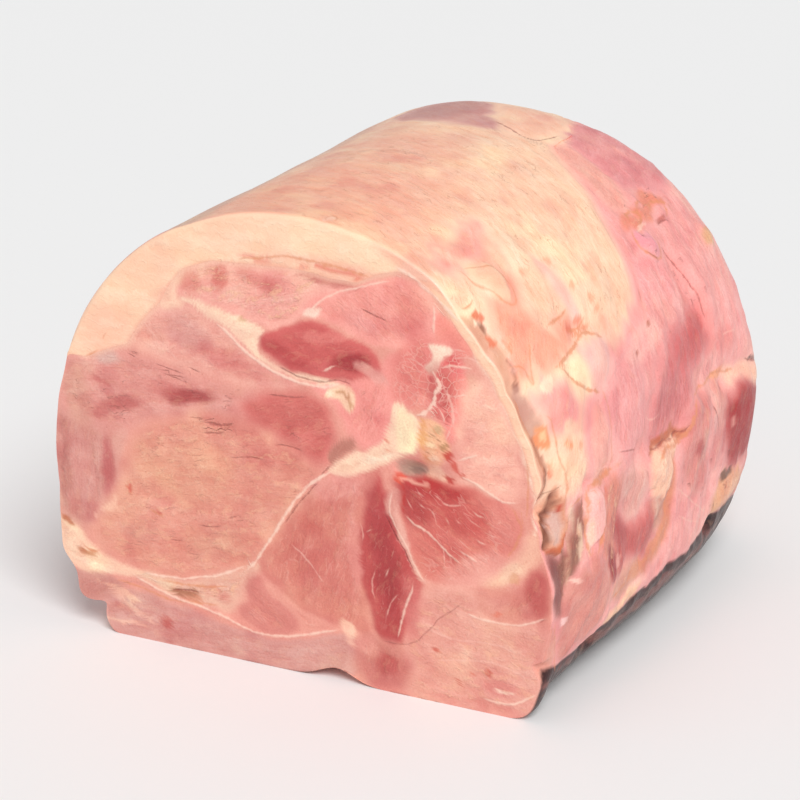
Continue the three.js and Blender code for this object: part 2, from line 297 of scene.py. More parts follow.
# The lean's cut: its ground tone, tissues, washes and threads, laid in this order.
CUT_BASE = (238, 168, 152)
CUT_PATCHES = (
    Patch("left column", (220, 156, 145), ((-96, 98), (-84, 94), (-70, 68), (-68, 56), (-76, 46), (-80, 36),
        (-96, 36)), 4.0, 88, 0.4, net=0.08),
    Patch("left band", (233, 164, 153), ((-96, 76), (-92, 96), (-66, 99), (-50, 96), (-32, 93), (-10, 92),
        (-20, 82), (-50, 80), (-62, 72), (-72, 70)), 3.5, 8, 0.45, net=0.1, vein=0.55),
    Patch("salmon lens", (246, 184, 168), ((-66, 101), (-62, 108), (-56, 113), (-48, 117), (-40, 116),
        (-32, 112.5), (-26, 108), (-20, 103), (-12, 99.5), (0, 96), (-20, 93), (-40, 94.5), (-50, 97)), 1.8,
        12, 0.4, net=0.12, level=-0.2, vein=0.15),
    Patch("round cushion", (234, 161, 143), ((-80, 37), (-74, 46), (-67, 56), (-66, 66), (-60, 75), (-46, 80),
        (-30, 82), (-16, 80), (-6, 76), (5, 70), (0, 65), (-6, 58), (-11, 50), (-16, 42), (-21, 34),
        (-27, 30), (-33, 27), (-45, 24), (-58, 23), (-70, 25), (-78, 29)), 3.6, 12, 0.4, fleck=0.5, net=0.06,
        level=-0.25, vein=0.4),
    Patch("red triangle", (222, 124, 116), ((-27, 84), (-22, 90), (-10, 94), (4, 94), (9, 86), (8, 78),
        (4, 71), (-8, 77)), 3.0, 20, 0.6, net=0.12, vein=0.6),
    Patch("mid pink", (250, 167, 157), ((-2, 97), (8, 99.5), (22, 103), (27, 112), (31, 112), (30, 96),
        (27, 82), (20, 78), (12, 82), (9, 92)), 1.8, 70, 0.5, net=0.15, vein=0.3),
    Patch("top strip", (251, 183, 169), ((-48, 121), (-46, 127), (-40, 131), (-33, 133.5), (-26, 131),
        (-15, 133), (-5, 134), (5, 132.5), (14, 131.5), (6, 127), (0, 123), (-3, 118), (-10, 113.5),
        (-18, 113.5), (-28, 115.5), (-38, 117.5), (-45, 118.5)), 1.0, 20, 0.6, net=0.4, fleck=0.9, vein=0.3),
    Patch("upper right muscle", (253, 175, 163), ((-3, 121), (2, 126), (10, 129.5), (20, 133), (30, 137),
        (37, 134), (42, 130), (43, 124), (40, 116), (30, 113), (20, 114), (5, 119), (0, 118)), 1.0, -38, 0.5,
        net=0.15, vein=0.15),
    Patch("upper right lens", (252, 160, 146), ((42, 128), (49, 123), (56, 115), (50, 114), (44, 117),
        (40, 121)), 1.0, 40, 0.4),
    Patch("dark oval", (217, 108, 104), ((-17.5, 107.5), (-15, 111.5), (-8, 115), (0, 118), (6, 117),
        (14, 114.5), (21, 113), (25.5, 108), (22, 103), (14, 100.5), (5, 99.8), (-4, 100.3), (-10, 102),
        (-15, 104.5)), 0.8, 15, 0.35, net=0.08, level=0.3),
    Patch("net muscle", (243, 152, 142), ((27, 97), (27, 105), (30, 113), (36, 119), (44, 119), (50, 116),
        (52, 105), (51, 94), (49, 84), (46, 85), (44, 92), (38, 95), (33, 94)), 2.2, -38, 0.4, net=0.72),
    Patch("net cells", (250, 148, 141), ((42.6, 112), (46, 114), (51, 113), (53, 106), (52, 98), (50.6, 90),
        (48.6, 86), (46.4, 88), (44.6, 92), (42.6, 97), (43.6, 101), (42, 106)), 1.2, 60, 0.2, net=0.85),
    Patch("net knot", (255, 226, 204), ((42, 117), (45.8, 116.3), (47.6, 115.2), (45.8, 113), (44, 112.2),
        (43.6, 110), (41.6, 107.4), (38.4, 107.6), (38.2, 109.4), (39.8, 111), (41.4, 112.6), (40.8, 114.8),
        (39.6, 116.4)), 0.5, 0, 0.0, level=0.3),
    Patch("right lens", (254, 194, 175), ((49, 76), (49, 90), (52, 102), (57, 110), (64, 104), (69, 93),
        (71, 81), (70, 72), (62, 69.5), (54, 72)), 2.4, 15, 0.2, net=0.3, level=-0.2),
    Patch("left centre muscle", (224, 141, 128), ((6, 69), (18, 72), (26, 74), (20, 66), (17, 52), (16, 40),
        (19, 25), (20, 17), (10, 19), (0, 21), (-8, 24), (-18, 31), (-20, 36), (-11, 48.5), (-4, 59),
        (1, 66)), 1.2, 75, 0.5, net=0.22, level=0.25),
    Patch("dark column", (199, 85, 83), ((24, 73), (27, 64), (30, 55), (34, 47), (39, 39), (37, 33), (34, 26),
        (32, 20), (29, 16), (22, 16), (19, 28), (16, 38), (16, 48), (18, 58), (21, 67)), 1.5, 70, 0.6,
        net=0.12, level=0.15),
    Patch("fan muscle", (229, 137, 124), ((29, 71), (36, 74.5), (48, 75), (55, 73), (60, 70), (67, 69.5),
        (71, 63), (69, 57), (65, 51), (58, 45), (50, 40), (40, 38.5), (35, 46), (32, 56), (29, 64)), 1.4, -32,
        0.6, net=0.3, level=0.2),
    Patch("tendon", (240, 182, 166), ((27.5, 66.8), (28.6, 68.6), (30.3, 67.6), (30.7, 64.3), (30.5, 61.2),
        (31.3, 57.1), (32.6, 54.3), (33.9, 50.9), (35.1, 46.3), (37, 43), (40, 38.8), (38.5, 38.3),
        (35.9, 41.7), (33.8, 45.5), (32.3, 48.9), (30.4, 51.6), (28.6, 54.9), (27.1, 58), (25.4, 58.8),
        (25.2, 62.2), (26.1, 64.9)), 0.5, 60, 0.2, level=0.3),
    Patch("low right muscle", (239, 175, 159), ((30, 2), (32, 18), (36, 32), (42, 39), (52, 40), (56, 35),
        (62, 31), (76, 33), (84, 30), (84, 0), (40, -2)), 2.0, -8, 0.3, net=0.18, fleck=0.5),
    Patch("low right red muscle", (230, 152, 138), ((72, 55), (79, 53), (80, 40), (78, 34.5), (70, 31.5),
        (62, 31), (55, 34), (60, 38), (68, 41), (72, 46)), 1.2, 60, 0.5),
    Patch("wedge", (222, 143, 132), ((-24, 30), (-20, 32), (-17, 26), (-10, 21.5), (-5, 17.5), (-6, 13),
        (-14, 11.2), (-20, 11.5), (-26, 14.5), (-28, 19), (-23, 22), (-25, 26)), 1.0, -30, 0.5),
    Patch("foot band", (222, 165, 155), ((-82, -2), (-80, 12), (-74, 16), (-60, 16), (-45, 14.5), (-30, 11.5),
        (-18, 9.5), (-5, 11), (5, 15), (13, 17), (18, 10), (14, 2), (0, -2)), 1.2, 4, 0.5),
    Patch("foot of the column", (218, 141, 130), ((14, 14), (18, 19), (33, 17), (36, 2), (14, 1)), 2.0, 80,
        0.4),
    Patch("left flap", (214, 151, 140), ((-90, 21), (-88, 10), (-77, 10), (-68, 16), (-74, 21)), 1.4, 40,
        0.5),
    Patch("low left fat", (250, 206, 180), ((-94, 38), (-87, 36.5), (-83.5, 33), (-79, 28), (-70, 25.4),
        (-62, 23.6), (-62, 21.6), (-72, 21.2), (-80, 20.6), (-86, 20), (-94, 26)), 1.0, 10, 0.2, fleck=0.6),
    Patch("strands of the low fat", (240, 192, 170), ((-64, 23.8), (-45, 24), (-36, 26.5), (-27, 31),
        (-20, 36), (-19, 34), (-23, 28), (-27, 20), (-30, 15.4), (-45, 17), (-60, 19.5)), 1.6, 14, 0.8,
        fleck=1.0, net=0.3, vein=0.8),
    Patch("fat seam over the lens", (255, 219, 193), ((-47, 118.5), (-44, 119.5), (-34, 117), (-24, 114.5),
        (-17, 113), (-15, 111.5), (-18, 108), (-18, 104.5), (-13, 101.8), (-6, 100.3), (4, 99.8), (14, 98.6),
        (4, 97.8), (-6, 98.6), (-14, 100.2), (-20, 103.6), (-26, 108.5), (-33, 113), (-40, 116)), 0.5, 30,
        0.1),
    Patch("gristle spot", (255, 216, 184), ((4.4, 94.4), (6.1, 96.5), (8.9, 98.3), (11.1, 98.6), (13.4, 98.2),
        (14.8, 96.5), (15.2, 94.4), (14.4, 92), (13.1, 90.2), (12, 91), (10, 92.6), (7.8, 94.1), (5.5, 93.8)),
        0.5, 10, 0.2, fleck=0.6, vein=0.8, level=0.3),
    Patch("grey fold", (200, 134, 118), ((5.8, 75.9), (8.3, 78.4), (11.1, 81.2), (13.9, 81.6), (15, 80),
        (13.4, 77.6), (10.6, 75.5), (8.3, 73), (6.1, 72.2)), 0.6, 45, 1.0, fleck=0.8, vein=0.8, level=-0.4),
    Patch("heart fat", (255, 219, 191), ((5.5, 71), (8.3, 69.3), (13.9, 70.2), (18.4, 71.4), (23.4, 73.9),
        (27.9, 76.3), (31.4, 79), (35, 80.6), (36.6, 86), (36.8, 91), (35.4, 92.9), (32.2, 94.4), (30, 96.5),
        (27.7, 96), (26.2, 91.3), (25.2, 87), (24.2, 83.8), (22.3, 81.2), (20, 80), (18.4, 77.8), (15, 78.4),
        (12.2, 75.9), (8.9, 73.1), (6.1, 71.8)), 0.5, 20, 0.3, fleck=0.6, level=0.3, vein=0.2),
    Patch("fat by the top strip", (255, 212, 186), ((-60, 116), (-50, 124), (-46, 130), (-43, 127),
        (-47, 121), (-47.5, 118), (-43, 116.5), (-50, 113)), 1.0, 30, 0.1),
    Patch("yellow block", (255, 234, 196), ((28.6, 93.6), (30.4, 94.4), (33, 93), (35.4, 91.6), (35.2, 86),
        (35.8, 81.8), (33, 80.8), (29.6, 81), (28.4, 84), (28, 89)), 1.0, 90, 0.0),
    Patch("spongy gristle", (248, 188, 154), ((36.6, 91.4), (39.3, 92.8), (42, 92.1), (44.2, 90.9),
        (45.3, 88.9), (45.8, 86.5), (47.4, 85.2), (48, 83.2), (45.8, 81.4), (44.9, 79.6), (43.3, 78),
        (40.4, 77.2), (37.7, 77.8), (36.8, 81), (36.3, 85.6), (36.8, 88.8)), 0.5, 0, 0.1, fleck=0.8, vein=1.0,
        level=-0.3),
    Patch("cream beside the hollow", (250, 200, 174), ((37, 78), (42, 78), (46, 76.4), (45.8, 74.6),
        (42, 73.4), (37.4, 72.6)), 0.8, 5, 0.3, fleck=0.5),
    Patch("grey hollow", (204, 158, 142), ((29.4, 76.4), (31, 78.2), (34, 79), (36.6, 78), (38.6, 76),
        (38.6, 74.2), (37, 72.6), (34, 72), (31, 72.8), (29.6, 74.6)), 0.6, 5, 0.4, level=-0.5),
    Patch("right edge fat", (236, 160, 140), ((64, 44), (70, 50), (72.6, 56), (73, 66), (74, 78), (70, 92),
        (62, 106), (66, 104), (73, 92), (78, 78), (78, 56), (74, 50), (68, 44)), 1.2, 60, 0.5, fleck=1.0,
        vein=0.8),
    Patch("fat under the fan", (247, 192, 168), ((54, 42.4), (60, 46), (65, 50.6), (69, 54), (71.6, 58),
        (73, 63), (76.4, 62), (76.4, 56), (74.6, 51.6), (71.4, 47.6), (68, 45.6), (64.4, 43.4), (60, 42.6)),
        2.4, 44, 0.4, fleck=0.6, vein=0.3),
    Patch("sheet round the cut", (255, 221, 199), ((44.6, 128.6), (46.8, 128.2), (51.4, 124.2), (56.4, 119),
        (59.2, 115), (61.8, 111.4), (64.4, 106.6), (67.2, 101.6), (70.2, 95.8), (72.4, 91), (74, 85),
        (75.4, 77), (75.8, 70), (75.4, 62), (73.8, 62), (74, 70), (73.4, 77), (71.8, 85), (69.8, 90.6),
        (67.2, 95.4), (64, 101), (60.2, 106.4), (57, 110.4), (54.8, 113), (53.2, 118), (49, 123.4)), 0.45, 60,
        0.1, level=0.3),
)
CUT_WASHES = [Wash(*row) for row in (
    ((190, 72, 72), (6, 131.4), (10, 2.2), -3, 0.8),
    ((214, 104, 98), (-18, 128), (7, 3), -8, 0.5),
    ((220, 116, 108), (-31, 126.5), (2.6, 5), -14, 0.75),
    ((228, 140, 124), (-42, 124), (5, 5), 20, 0.6),
    ((255, 205, 184), (-37, 129), (1.6, 4), 0, 0.6),
    ((255, 200, 182), (-38, 121.5), (7, 1.2), 12, 0.6),
    ((252, 200, 184), (-26, 121), (4, 3), -40, 0.6),
    ((250, 190, 176), (-10, 123), (6, 2.4), 10, 0.5),
    ((172, 50, 56), (14.4, 106.8), (7.5, 3.4), 14, 0.95),
    ((190, 70, 72), (-8, 105.5), (9, 3), -14, 0.7),
    ((240, 150, 140), (6, 113.5), (8, 2.0), 10, 0.55),
    ((240, 178, 166), (21, 104.5), (5.5, 2.2), -24, 0.75),
    ((246, 172, 164), (16, 121), (7, 3.4), -12, 0.6),
    ((226, 122, 118), (34, 124), (5, 8), 0, 0.55),
    ((232, 134, 126), (33, 110), (5, 4), 0, 0.5),
    ((180, 74, 74), (-42.6, 86.8), (9.0, 3.2), 1, 0.9),
    ((216, 122, 116), (-52, 88.5), (7, 3), 3, 0.5),
    ((200, 104, 100), (-68, 80.5), (7.5, 3.0), 6, 0.75),
    ((210, 120, 116), (-74, 85), (5, 1.8), -38, 0.6),
    ((208, 120, 114), (-74, 77), (5, 2.2), 34, 0.6),
    ((222, 186, 176), (-72, 94.5), (4.5, 2.6), 10, 0.7),
    ((226, 176, 154), (-84, 80), (5, 11), 8, 0.55),
    ((206, 114, 112), (-73.5, 59), (2.8, 10), -4, 0.8),
    ((226, 164, 154), (-83.5, 56), (4.4, 12), 0, 0.7),
    ((212, 132, 126), (-83, 41.5), (7, 3.4), 0, 0.7),
    ((196, 132, 120), (-89.5, 56), (1.6, 16), 0, 0.5),
    ((232, 176, 162), (-69, 66), (2.6, 7), -10, 0.55),
    ((250, 196, 176), (-74, 45), (8, 1.4), 45, 0.6),
    ((238, 178, 150), (-46, 60), (18, 10), -8, 0.65),
    ((248, 190, 158), (-36, 66), (9, 5), -14, 0.55),
    ((244, 178, 158), (-60, 42), (16, 7), 16, 0.55),
    ((222, 156, 140), (-62, 37), (7, 4), 0, 0.5),
    ((224, 160, 142), (-34, 38), (12, 5), 28, 0.45),
    ((226, 146, 132), (-20, 52), (6, 10), -30, 0.5),
    ((236, 168, 148), (-46, 29), (16, 3), 2, 0.5),
    ((214, 116, 108), (-8, 86), (13, 5), 10, 0.6),
    ((224, 136, 124), (-10, 74), (13, 4), 18, 0.5),
    ((226, 164, 156), (-42, 107), (10, 5), -30, 0.75),
    ((230, 142, 134), (-30, 100.5), (12, 3.4), -10, 0.6),
    ((246, 184, 164), (-60, 104), (5, 4), 20, 0.6),
    ((190, 54, 54), (42, 70.5), (13, 3.4), 2, 0.95),
    ((184, 60, 62), (35, 65), (5.5, 8), 20, 0.85),
    ((206, 84, 80), (48, 64), (14, 6), -16, 0.7),
    ((216, 104, 98), (45, 54), (9, 5), -30, 0.5),
    ((244, 176, 162), (55, 46), (13, 5), 32, 0.85),
    ((240, 160, 148), (64, 62), (5, 7), 0, 0.6),
    ((174, 58, 62), (26, 42), (5, 20), 5, 0.8),
    ((186, 72, 74), (22, 58), (3.4, 12), 4, 0.6),
    ((224, 134, 126), (35, 28), (3.4, 12), 0, 0.8),
    ((240, 168, 158), (8, 66), (12, 4), 14, 0.7),
    ((236, 158, 148), (14.5, 44), (2.0, 18), 0, 0.6),
    ((212, 116, 108), (-2, 44), (10, 14), -14, 0.65),
    ((214, 122, 114), (4, 28), (8, 6), -14, 0.45),
    ((196, 92, 88), (25.5, 10), (5.0, 3.8), 8, 0.9),
    ((240, 168, 156), (18, 14), (3.6, 3), 0, 0.6),
    ((200, 96, 92), (76, 42), (4.4, 9), 4, 0.85),
    ((240, 172, 160), (62, 36), (5, 3), 14, 0.6),
    ((200, 88, 84), (44, 104), (5.5, 8), 10, 0.7),
    ((250, 190, 176), (55, 101), (4, 7), 30, 0.4),
    ((255, 232, 206), (22, 76), (6, 1.6), 20, 0.8),
    ((244, 196, 168), (14, 73), (6, 1.0), 20, 0.5),
    ((255, 224, 206), (0.6, 120.2), (3.0, 1.8), 20, 0.9),
    ((206, 92, 88), (45.6, 97.6), (1.7, 1.6), 0, 0.8),
    ((204, 90, 88), (43.8, 101.4), (1.1, 1.3), 0, 0.8),
    ((208, 94, 90), (46.6, 93), (0.9, 2.6), -8, 0.8),
    ((216, 104, 98), (43.2, 94.4), (1.2, 2.0), 10, 0.7),
    ((200, 86, 84), (40.2, 105.8), (0.9, 1.0), 0, 0.8),
    ((224, 112, 104), (46.6, 106), (2.0, 1.6), 0, 0.7),
    ((228, 112, 106), (47, 113), (2.4, 1.2), -10, 0.7),
    ((226, 128, 120), (35, 104), (5, 4), -38, 0.5),
    ((208, 74, 54), (47.4, 81.6), (1.2, 1.4), 0, 0.9),
    ((222, 100, 80), (49.4, 79.2), (1.3, 1.7), 20, 0.85),
    ((200, 66, 54), (46.4, 75.6), (1.6, 0.9), 0, 0.9),
    ((222, 104, 84), (51.8, 77.4), (1.1, 0.6), 0, 0.8),
    ((226, 92, 68), (30.2, 71.8), (1.5, 1.6), 0, 0.85),
    ((198, 58, 52), (31.6, 66), (0.8, 3.6), 4, 0.85),
    ((238, 168, 114), (38, 87), (1.3, 4.2), 0, 0.8),
    ((255, 218, 182), (41.4, 84.6), (1.7, 1.3), 0, 0.9),
    ((204, 164, 128), (42.6, 90), (1.9, 1.3), -20, 0.8),
    ((190, 138, 96), (46.2, 84.4), (1.2, 1.3), 0, 0.85),
    ((255, 222, 190), (42.4, 80.2), (2.2, 1.1), 0, 0.85),
    ((234, 156, 106), (39.6, 80.6), (1.1, 1.5), 0, 0.75),
    ((176, 118, 86), (41.4, 88), (0.7, 0.6), 0, 0.8),
    ((172, 112, 82), (43.8, 86.6), (0.5, 0.9), 0, 0.8),
    ((182, 122, 88), (40.4, 82.4), (0.8, 0.4), 0, 0.7),
    ((180, 146, 130), (34, 75.2), (3.6, 2), 4, 0.8),
    ((150, 116, 104), (35.6, 74.6), (2, 0.8), -10, 0.8),
    ((246, 190, 170), (35.4, 71.4), (5.4, 0.6), -2, 0.7),
    ((226, 146, 136), (33, 80.1), (2.6, 0.8), 0, 0.8),
    ((255, 238, 200), (31.6, 85), (2.4, 5), 0, 0.8),
    ((255, 246, 216), (25.9, 77.2), (1.0, 0.9), 0, 0.8),
    ((236, 148, 124), (24.6, 82.8), (0.8, 1.0), 20, 0.8),
    ((240, 160, 136), (26.2, 80.2), (1.0, 0.5), 0, 0.7),
    ((212, 156, 116), (9.6, 96.4), (1.5, 0.8), 0, 0.85),
    ((208, 150, 110), (11.9, 95), (1.2, 1.0), 0, 0.85),
    ((218, 164, 124), (13, 92.8), (0.8, 1.1), 0, 0.8),
    ((255, 230, 202), (6.2, 95.2), (1.1, 0.7), 0, 0.8),
    ((214, 160, 120), (-24.4, 114), (1.2, 0.8), 0, 0.6),
    ((224, 138, 132), (64, 9), (7, 3), 8, 0.6),
    # Painted highlight on the mauve pink place low on the right of the cut.
    ((255, 226, 206), (65, 8.4), (2.4, 0.6), 6, 0.9),
    ((214, 110, 92), (60, 13.5), (1.1, 1.4), 0, 0.9),
    ((214, 110, 92), (43, 17), (0.8, 1.0), 0, 0.85),
    ((222, 124, 104), (54.5, 12), (0.8, 0.8), 0, 0.8),
    ((212, 106, 90), (50, 8.5), (0.7, 1.6), 0, 0.8),
    ((232, 130, 110), (63, 33), (1.2, 0.7), 0, 0.8),
    ((255, 210, 186), (12, 17), (2.0, 4.6), 24, 0.8),
    ((206, 108, 98), (-53.5, 7.5), (2.2, 2.4), -20, 0.85),
    ((255, 204, 178), (-70, 14), (8, 1.4), -18, 0.7),
    ((250, 204, 182), (-66, 9.5), (7, 1.2), -28, 0.6),
    ((250, 200, 178), (-70, 4), (8, 0.9), 4, 0.7),
    ((214, 146, 134), (-72, 8.5), (5, 1.2), 0, 0.6),
    ((196, 110, 76), (-89.5, 36.5), (1.8, 1.0), -20, 0.85),
    ((198, 116, 74), (-83.5, 28), (1.4, 1.0), -40, 0.85),
    ((206, 130, 92), (-80, 27.8), (1.8, 0.9), 30, 0.8),
    ((255, 224, 196), (-88, 30), (3, 5), 20, 0.7),
    ((255, 222, 196), (-78, 23.5), (8, 1.6), -8, 0.7),
    ((176, 112, 80), (-47, 19.8), (5, 1.5), 6, 0.85),
    ((206, 118, 84), (-44, 18), (4, 1.1), 0, 0.6),
    ((232, 160, 142), (-34, 21), (5, 2.6), 10, 0.6),
    ((255, 222, 200), (-31, 24), (4, 1.1), 32, 0.7),
    ((214, 100, 84), (-65.5, 51.5), (0.8, 1.6), -20, 0.85),
    ((218, 112, 96), (-56, 44.5), (2.4, 0.8), -30, 0.8),
    ((250, 200, 180), (56, 83), (5, 0.5), 10, 0.5),
    ((255, 220, 190), (67, 47), (5, 2.6), 44, 0.7),
    ((232, 172, 132), (68, 45), (2, 1.4), 30, 0.6),
    # Painted shadow in the notch at the lower right corner of the cut.
    ((52, 26, 22), (80.2, 17.6), (1.6, 1.0), 30, 0.95),
)]
